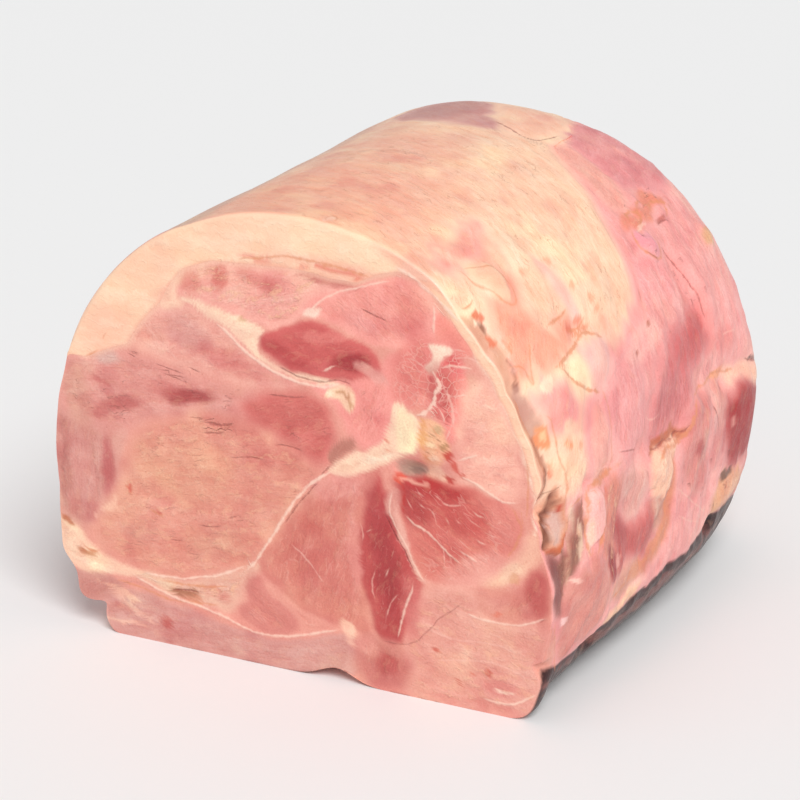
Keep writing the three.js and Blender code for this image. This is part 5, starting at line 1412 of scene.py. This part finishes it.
def new_group(name, inputs, outputs):
    """A shader node group with named inputs and outputs, and its two end nodes."""
    group = bpy.data.node_groups.new(name, "ShaderNodeTree")
    for label, kind in inputs.items():
        group.interface.new_socket(name=label, in_out="INPUT", socket_type=f"NodeSocket{kind}")
    for label in outputs:
        group.interface.new_socket(name=label, in_out="OUTPUT", socket_type="NodeSocketFloat")
    return group, group.nodes.new("NodeGroupInput"), group.nodes.new("NodeGroupOutput")


# How fast each mark changes along the fibres and across them, for each mm.
BROAD_STREAK, FINE_STREAK = (0.08, 0.5, 0.0), (0.28, 2.0, 0.0)
WEB_LIE, FLECK_LIE = (0.12, 0.5, 0.0), (0.16, 0.34, 0.0)
CLOUD_LIE, VEIN_LIE = (0.06, 0.19, 0.0), (0.07, 0.26, 0.0)
STREAK_HEIGHT = 0.12


def fibre_group():
    """Streaks of muscle fibre: a shade about one half, and a height in mm."""
    wires = {"Fibre": "Vector", "Strength": "Float"}
    group, start, end = new_group("Muscle fibres", wires, ("Shade", "Height"))
    fibre, strength = start.outputs["Fibre"], start.outputs["Strength"]
    broad = noise_of(group, stretched(group, fibre, BROAD_STREAK), 1.0, 4.0, 0.6)
    fine = noise_of(group, stretched(group, fibre, FINE_STREAK), 1.0, 2.0, 0.55)
    broad, fine = sum_of(group, "SUBTRACT", broad, 0.5), sum_of(group, "SUBTRACT", fine, 0.5)
    both = sum_of(group, "MULTIPLY_ADD", broad, 1.7, times(group, fine, 1.2))
    shade = sum_of(group, "MULTIPLY_ADD", both, strength, 0.5, clamp=True)
    height = times(group, both, times(group, strength, STREAK_HEIGHT))
    group.links.new(shade, end.inputs["Shade"])
    group.links.new(height, end.inputs["Height"])
    return group


def line_group():
    """A thin uneven line where an offset is less than half a width, both in mm."""
    wires = {"Place": "Vector", "Offset": "Float", "Half": "Float", "Soft": "Float", "Broken": "Float"}
    group, start, end = new_group("Tissue line", wires, ("Mask",))
    spot, offset, half, soft, broken = (start.outputs[label] for label in wires)
    sway = sum_of(group, "SUBTRACT", noise_of(group, spot, 0.17, 3.0), 0.5)
    swayed = sum_of(group, "ABSOLUTE", sum_of(group, "MULTIPLY_ADD", sway, 1.4, offset))
    least = sum_of(group, "MULTIPLY_ADD", broken, -1.3, 0.8)
    swelling = ramp(group, noise_of(group, spot, 0.55, 3.0), 0.35, 0.65, least, 1.25)
    wide = times(group, half, swelling)
    inner, outer = sum_of(group, "SUBTRACT", wide, soft), sum_of(group, "ADD", wide, soft)
    mask = ramp(group, swayed, inner, outer, 1.0, 0.0)
    there = ramp(group, half, 0.0, 0.12)
    group.links.new(times(group, mask, there), end.inputs["Mask"])
    return group


def grain_group():
    """Marks of the meat: a net and a web of fat, flecks, fine grain, clouds of tone, pores and veins."""
    marks = ("Net", "Web", "Fleck", "Grain", "Cloud", "Pore", "Vein")
    group, start, end = new_group("Meat grain", {"Place": "Vector", "Fibre": "Vector"}, marks)
    spot, fibre = start.outputs["Place"], start.outputs["Fibre"]

    def put(mark, value):
        group.links.new(value, end.inputs[mark])

    def bent(vector, reach):
        shift = node(group, "ShaderNodeTexNoise", {"Vector": spot, "Scale": 0.35, "Detail": 3.0}).outputs[1]
        wires = {0: shift, 1: (reach,) * 3, 2: vector}
        return node(group, "ShaderNodeVectorMath", wires, operation="MULTIPLY_ADD").outputs[0]

    cells = node(group, "ShaderNodeTexVoronoi", {"Vector": bent(spot, 2.0), "Scale": 0.38},
                 feature="DISTANCE_TO_EDGE")
    width = ramp(group, noise_of(group, spot, 0.25, 2.0), 0.35, 0.65, 0.02, 0.1)
    put("Net", ramp(group, cells.outputs[0], 0.0, width, 1.0, 0.0))
    strands = stretched(group, bent(fibre, 2.0), WEB_LIE)
    cells = node(group, "ShaderNodeTexVoronoi", {"Vector": strands, "Scale": 1.0}, feature="DISTANCE_TO_EDGE")
    width = ramp(group, noise_of(group, spot, 0.22, 3.0), 0.5, 0.68, 0.0, 0.1)
    put("Web", ramp(group, cells.outputs[0], times(group, width, 0.3), width, 1.0, 0.0))
    flecks = noise_of(group, stretched(group, bent(fibre, 3.0), FLECK_LIE), 1.0, 5.0, 0.68)
    put("Fleck", ramp(group, flecks, 0.52, 0.62))
    put("Grain", noise_of(group, spot, 1.5, 3.0, 0.6))
    put("Cloud", noise_of(group, stretched(group, bent(fibre, 5.0), CLOUD_LIE), 1.0, 4.0, 0.66))
    holes = node(group, "ShaderNodeTexVoronoi", {"Vector": spot, "Scale": 0.42})
    chosen = node(group, "ShaderNodeSeparateColor", {0: holes.outputs["Color"]}).outputs[0]
    hole = ramp(group, holes.outputs["Distance"], 0.05, 0.13, 1.0, 0.0)
    put("Pore", times(group, hole, ramp(group, chosen, 0.74, 0.78)))
    course = noise_of(group, stretched(group, bent(fibre, 2.0), VEIN_LIE), 1.0, 3.0, 0.6)
    level = sum_of(group, "ABSOLUTE", sum_of(group, "SUBTRACT", course, 0.5))
    line = ramp(group, level, 0.002, 0.014, 1.0, 0.0)
    put("Vein", times(group, line, ramp(group, noise_of(group, spot, 0.2, 3.0), 0.54, 0.64)))
    return group


# Blur of a line's edge in mm, and how broken the line is.
LINE_EDGE = {"pale": (0.35, 0.35), "web": (0.3, 0.6), "dark": (0.28, 0.6), "brown": (0.4, 0.45)}
# How strongly each kind of line is coloured.
LINE_STRENGTH = {"brown": 0.72, "web": 0.65, "pale": 0.75, "dark": 0.62}
# Heights of the marks in mm, and how far the grain shifts the gloss.
PALE_HEIGHT, FLECK_HEIGHT, NET_HEIGHT, VEIN_HEIGHT = 0.10, 0.12, 0.08, -0.25
GLOSS_RANGE, COAT_ROUGHNESS = 0.07, 0.3


def meat_material(name, colours, sizes, finish):
    """A cooked tissue that reads its tone, fibres and lines from the mesh. Finish holds its own values."""
    material = bpy.data.materials.new(name)
    material.use_nodes = True
    tree = material.node_tree
    tree.nodes.clear()

    def group(label, **inputs):
        return node(tree, "ShaderNodeGroup", inputs, node_tree=bpy.data.node_groups[label]).outputs

    def attribute(label):
        return node(tree, "ShaderNodeAttribute", attribute_name=label).outputs

    spot = stretched(tree, node(tree, "ShaderNodeTexCoord").outputs["Object"], (1000.0,) * 3)
    feel = node(tree, "ShaderNodeSeparateColor", {0: attribute("feel")["Color"]}).outputs
    whole = node(tree, "ShaderNodeSeparateXYZ", {0: attribute("fibre")["Vector"]}).outputs[2]
    strands = times(tree, feel[0], times(tree, whole, finish["strands"]))
    fibres = group("Muscle fibres", Fibre=attribute("fibre")["Vector"], Strength=strands)
    grain = group("Meat grain", Place=spot, Fibre=attribute("fibre")["Vector"])

    tone = attribute("tone")["Color"]
    dark = blend(tree, 1.0, tone, finish["deep"], "MULTIPLY")
    light = blend(tree, 1.0, tone, finish["light"], "MULTIPLY")
    near = ramp(tree, fibres["Shade"], 0.12, 0.5, 1.0, 0.0)
    far = ramp(tree, fibres["Shade"], 0.5, 0.9, 0.0, 1.0)
    tone = blend(tree, near, tone, dark)
    tone = blend(tree, far, tone, light)
    cloud = times(tree, whole, ramp(tree, grain["Cloud"], 0.3, 0.6, finish["cloud"], 0.0))
    tone = blend(tree, cloud, tone, finish["deep"], "MULTIPLY")
    bright = times(tree, whole, ramp(tree, grain["Cloud"], 0.5, 0.75, 0.0, finish["bloom"]))
    tone = blend(tree, bright, tone, finish["light"], "MULTIPLY")
    flecked = times(tree, times(tree, grain["Fleck"], whole), feel[2])
    tone = blend(tree, times(tree, flecked, 0.6), tone, colours.fleck)
    speck = ramp(tree, grain["Grain"], 0.36, 0.64, finish["speck"], 0.0)
    tone = blend(tree, speck, tone, finish["deep"], "MULTIPLY")
    tone = blend(tree, times(tree, grain["Pore"], finish["pores"]), tone, colours.dark)
    veins = times(tree, times(tree, grain["Vein"], whole), attribute("feel")["Alpha"])
    tone = blend(tree, times(tree, veins, 0.75), tone, finish["vein"])
    net = times(tree, grain["Net"], ramp(tree, feel[1], 0.5, 1.0, 0.0, 0.85))
    web = times(tree, times(tree, grain["Web"], whole), ramp(tree, feel[1], 0.0, 0.5, 0, 0.38))
    tone = blend(tree, sum_of(tree, "MAXIMUM", net, web), tone, colours.web)

    lines = {}
    for label, first, second in (("threads", "pale", "web"), ("seams", "dark", "brown")):
        found = attribute(label)
        parts = node(tree, "ShaderNodeSeparateColor", {0: found["Color"]}).outputs
        pairs = {first: (parts[0], parts[1]), second: (parts[2], found["Alpha"])}
        for kind, (offset, half) in pairs.items():
            soft, broken = LINE_EDGE[kind]
            found = group("Tissue line", Place=spot, Offset=offset, Half=half, Soft=soft, Broken=broken)
            lines[kind] = found["Mask"]
    for kind, share in LINE_STRENGTH.items():
        tone = blend(tree, times(tree, lines[kind], share), tone, getattr(colours, kind))

    height = sum_of(tree, "MULTIPLY_ADD", grain["Grain"], sizes.grain_depth / MM, fibres["Height"])
    height = sum_of(tree, "MULTIPLY_ADD", lines["pale"], PALE_HEIGHT, height)
    height = sum_of(tree, "MULTIPLY_ADD", lines["dark"], -sizes.seam_depth / MM, height)
    swell = times(tree, sum_of(tree, "SUBTRACT", grain["Cloud"], 0.5), whole)
    height = sum_of(tree, "MULTIPLY_ADD", swell, finish["swell"], height)
    height = sum_of(tree, "MULTIPLY_ADD", flecked, FLECK_HEIGHT, height)
    height = sum_of(tree, "MULTIPLY_ADD", sum_of(tree, "MAXIMUM", net, web), NET_HEIGHT, height)
    height = sum_of(tree, "MULTIPLY_ADD", veins, VEIN_HEIGHT, height)
    bump = node(tree, "ShaderNodeBump", {"Strength": 1.0, "Distance": MM, "Height": height})
    dull, shiny = finish["rough"] + GLOSS_RANGE, finish["rough"] - GLOSS_RANGE
    gloss = ramp(tree, grain["Grain"], 0.3, 0.7, dull, shiny)
    shader = node(tree, "ShaderNodeBsdfPrincipled", {
        "Base Color": tone, "Roughness": gloss, "Normal": bump.outputs[0],
        "Specular IOR Level": finish["shine"], "Coat Weight": finish["moist"],
        "Coat Roughness": COAT_ROUGHNESS,
    })
    result = node(tree, "ShaderNodeOutputMaterial", {"Surface": shader.outputs[0]})
    result.is_active_output = True
    return material


# Tints of deep and light streaks and of veins, strengths of the marks, and the gloss.
LEAN_FINISH = {
    "deep": (0.80, 0.50, 0.48, 1.0), "light": (1.08, 1.3, 1.3, 1.0), "vein": (0.48, 0.15, 0.11, 1.0),
    "bloom": 0.7, "cloud": 0.4, "speck": 0.3, "swell": 0.9, "strands": 0.5, "pores": 0.3,
    "rough": 0.42, "shine": 0.5, "moist": 0.14,
}
FAT_FINISH = {
    "deep": (0.94, 0.66, 0.54, 1.0), "light": (1.0, 1.1, 1.14, 1.0), "vein": (0.80, 0.34, 0.18, 1.0),
    "bloom": 0.6, "cloud": 0.4, "speck": 0.16, "swell": 0.7, "strands": 0.5, "pores": 0.08,
    "rough": 0.40, "shine": 0.5, "moist": 0.14,
}


def tint(*rgb):
    """A colour from 0 to 255 as the default of a colour property."""
    return (*(float(part) for part in paint(*rgb)), 1.0)


def length(label, text, default):
    return FloatProperty(name=label, description=text, default=default, min=0.0, unit="LENGTH", precision=5)


def colour(label, text, default):
    return FloatVectorProperty(name=label, description=text, default=default, size=4, min=0.0, max=1.0,
                               subtype="COLOR")


class HamSizes(bpy.types.PropertyGroup):
    """Sizes that a user may change."""
    grain_depth: length("Grain depth", "Height of the fine grain of the cut and the skin", 0.00008)
    seam_depth: length("Seam depth", "Depth of the dark seams between muscles", 0.0003)


class HamColours(bpy.types.PropertyGroup):
    """Colours of the threads and flecks that run over the tones of the muscles."""
    pale: colour("Sheet of tissue", "White sheets between muscles and the tendon", tint(253, 216, 196))
    web: colour("Web", "Thin pale threads and marbling", tint(247, 190, 174))
    dark: colour("Seam", "Dark seams and cracks", tint(164, 72, 66))
    brown: colour("Roasted thread", "Orange brown threads in the fat and the skin", tint(222, 140, 100))
    fleck: colour("Fleck", "Warm flecks", tint(250, 196, 158))
    floor: colour("Floor", "Studio floor", tint(240, 240, 240))


class HamOperator:
    """What the operators of the two pieces share."""
    bl_options = {"REGISTER", "UNDO"}

    def dressed(self, piece, node_name, slot, name, finish):
        """Give a piece its material, its body and the node that it replaces. The slot is not used."""
        scene = bpy.context.scene
        piece.data.materials.append(meat_material(name, scene.ham_colours, scene.ham_sizes, finish))
        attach(piece, "root")
        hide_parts(node_name)


class HAM_OT_lean(HamOperator, bpy.types.Operator):
    """Make the lean: the body of meat with its cut face, flanks, foot and rounded rear end"""
    bl_idname = "ham.lean"
    bl_label = "Lean"

    def execute(self, context):
        piece = finish_piece("ham_lean", turned_blank(LEAN_ACROSS, LEAN_SIDE + LEAN_REAR), mould_lean)
        self.dressed(piece, "lean", "lean", "Cooked lean", LEAN_FINISH)
        return {"FINISHED"}


class HAM_OT_fat(HamOperator, bpy.types.Operator):
    """Make the cap of fat that lies over the top and the flanks"""
    bl_idname = "ham.fat"
    bl_label = "Fat cap"

    def execute(self, context):
        piece = finish_piece("ham_fat_cap", slab_blank(FAT_AROUND, FAT_DEEP, FAT_ALONG), mould_fat)
        self.dressed(piece, "fat_cap", "fat", "Soft fat", FAT_FINISH)
        return {"FINISHED"}


# Studio: what the camera looks at, where it stands, where the soft sunlight comes from and how strong it is.
LOOK_AT = (0.03239, -0.094, 0.0972)
CAMERA_TURN, CAMERA_RISE, CAMERA_AWAY, CAMERA_LENS = 26.2, 20.0, 0.8235, 124.1
SUN_FROM, SUN_STRENGTH, SUN_SPREAD = (0.52, -0.56, 0.8), 2.3, 32.0
SKY, SKY_STRENGTH = (1.0, 1.0, 1.0, 1.0), 0.48
FLOOR_REACH, FLOOR_ROUGHNESS = 6, 0.7


def plain_material(name, tone, roughness):
    material = bpy.data.materials.new(name)
    material.use_nodes = True
    shader = material.node_tree.nodes["Principled BSDF"]
    shader.inputs["Base Color"].default_value = tone
    shader.inputs["Roughness"].default_value = roughness
    return material


class HAM_OT_stage(bpy.types.Operator):
    """Make the pale floor, the soft light and the camera"""
    bl_idname = "ham.stage"
    bl_label = "Studio"
    bl_options = {"REGISTER", "UNDO"}

    def floor(self, scene):
        sheet = bmesh.new()
        bmesh.ops.create_grid(sheet, x_segments=1, y_segments=1, size=FLOOR_REACH)
        mesh = bpy.data.meshes.new("Floor")
        sheet.to_mesh(mesh)
        sheet.free()
        mesh.materials.append(plain_material("Pale floor", scene.ham_colours.floor, FLOOR_ROUGHNESS))
        floor = bpy.data.objects.new("Floor", mesh)
        scene.collection.objects.link(floor)

    def light(self, scene):
        lamp = bpy.data.lights.new("Soft sun", "SUN")
        lamp.energy, lamp.angle = SUN_STRENGTH, math.radians(SUN_SPREAD)
        holder = bpy.data.objects.new("Soft sun", lamp)
        holder.location = SUN_FROM
        holder.rotation_euler = Vector(SUN_FROM).to_track_quat("Z", "Y").to_euler()
        scene.collection.objects.link(holder)
        scene.world = bpy.data.worlds.new("Soft sky")
        scene.world.use_nodes = True
        sky = scene.world.node_tree.nodes["Background"]
        sky.inputs["Color"].default_value = SKY
        sky.inputs["Strength"].default_value = SKY_STRENGTH
        scene.view_settings.view_transform = "Standard"

    def camera(self, scene):
        turned, rise = math.radians(CAMERA_TURN), math.radians(CAMERA_RISE)
        back = Vector((math.sin(turned) * math.cos(rise), -math.cos(turned) * math.cos(rise), math.sin(rise)))
        lens = bpy.data.cameras.new("Camera")
        lens.lens = CAMERA_LENS
        camera = bpy.data.objects.new("Camera", lens)
        camera.location = Vector(LOOK_AT) + back * CAMERA_AWAY
        camera.rotation_euler = (-back).to_track_quat("-Z", "Y").to_euler()
        scene.collection.objects.link(camera)
        scene.camera = camera

    def execute(self, context):
        self.floor(context.scene)
        self.light(context.scene)
        self.camera(context.scene)
        return {"FINISHED"}


class HAM_PT_tools(bpy.types.Panel):
    """The ham's sizes, colours and pieces"""
    bl_label = "Shoulder Ham"
    bl_space_type = "VIEW_3D"
    bl_region_type = "UI"
    bl_category = "Ham"

    def draw(self, context):
        for values in (context.scene.ham_sizes, context.scene.ham_colours):
            column = self.layout.column()
            for name in values.__annotations__:
                column.prop(values, name)
        for maker in (HAM_OT_lean, HAM_OT_fat, HAM_OT_stage):
            self.layout.operator(maker.bl_idname)


CLASSES = (HamSizes, HamColours, HAM_OT_lean, HAM_OT_fat, HAM_OT_stage, HAM_PT_tools)


def register():
    for kind in CLASSES:
        bpy.utils.register_class(kind)
    bpy.types.Scene.ham_sizes = bpy.props.PointerProperty(type=HamSizes)
    bpy.types.Scene.ham_colours = bpy.props.PointerProperty(type=HamColours)
    for maker in (fibre_group, line_group, grain_group):
        maker()


def unregister():
    del bpy.types.Scene.ham_colours
    del bpy.types.Scene.ham_sizes
    for kind in reversed(CLASSES):
        bpy.utils.unregister_class(kind)


def main():
    register()
    bpy.ops.ham.lean()
    bpy.ops.ham.fat()
    bpy.ops.ham.stage()


if __name__ == "__main__":
    main()
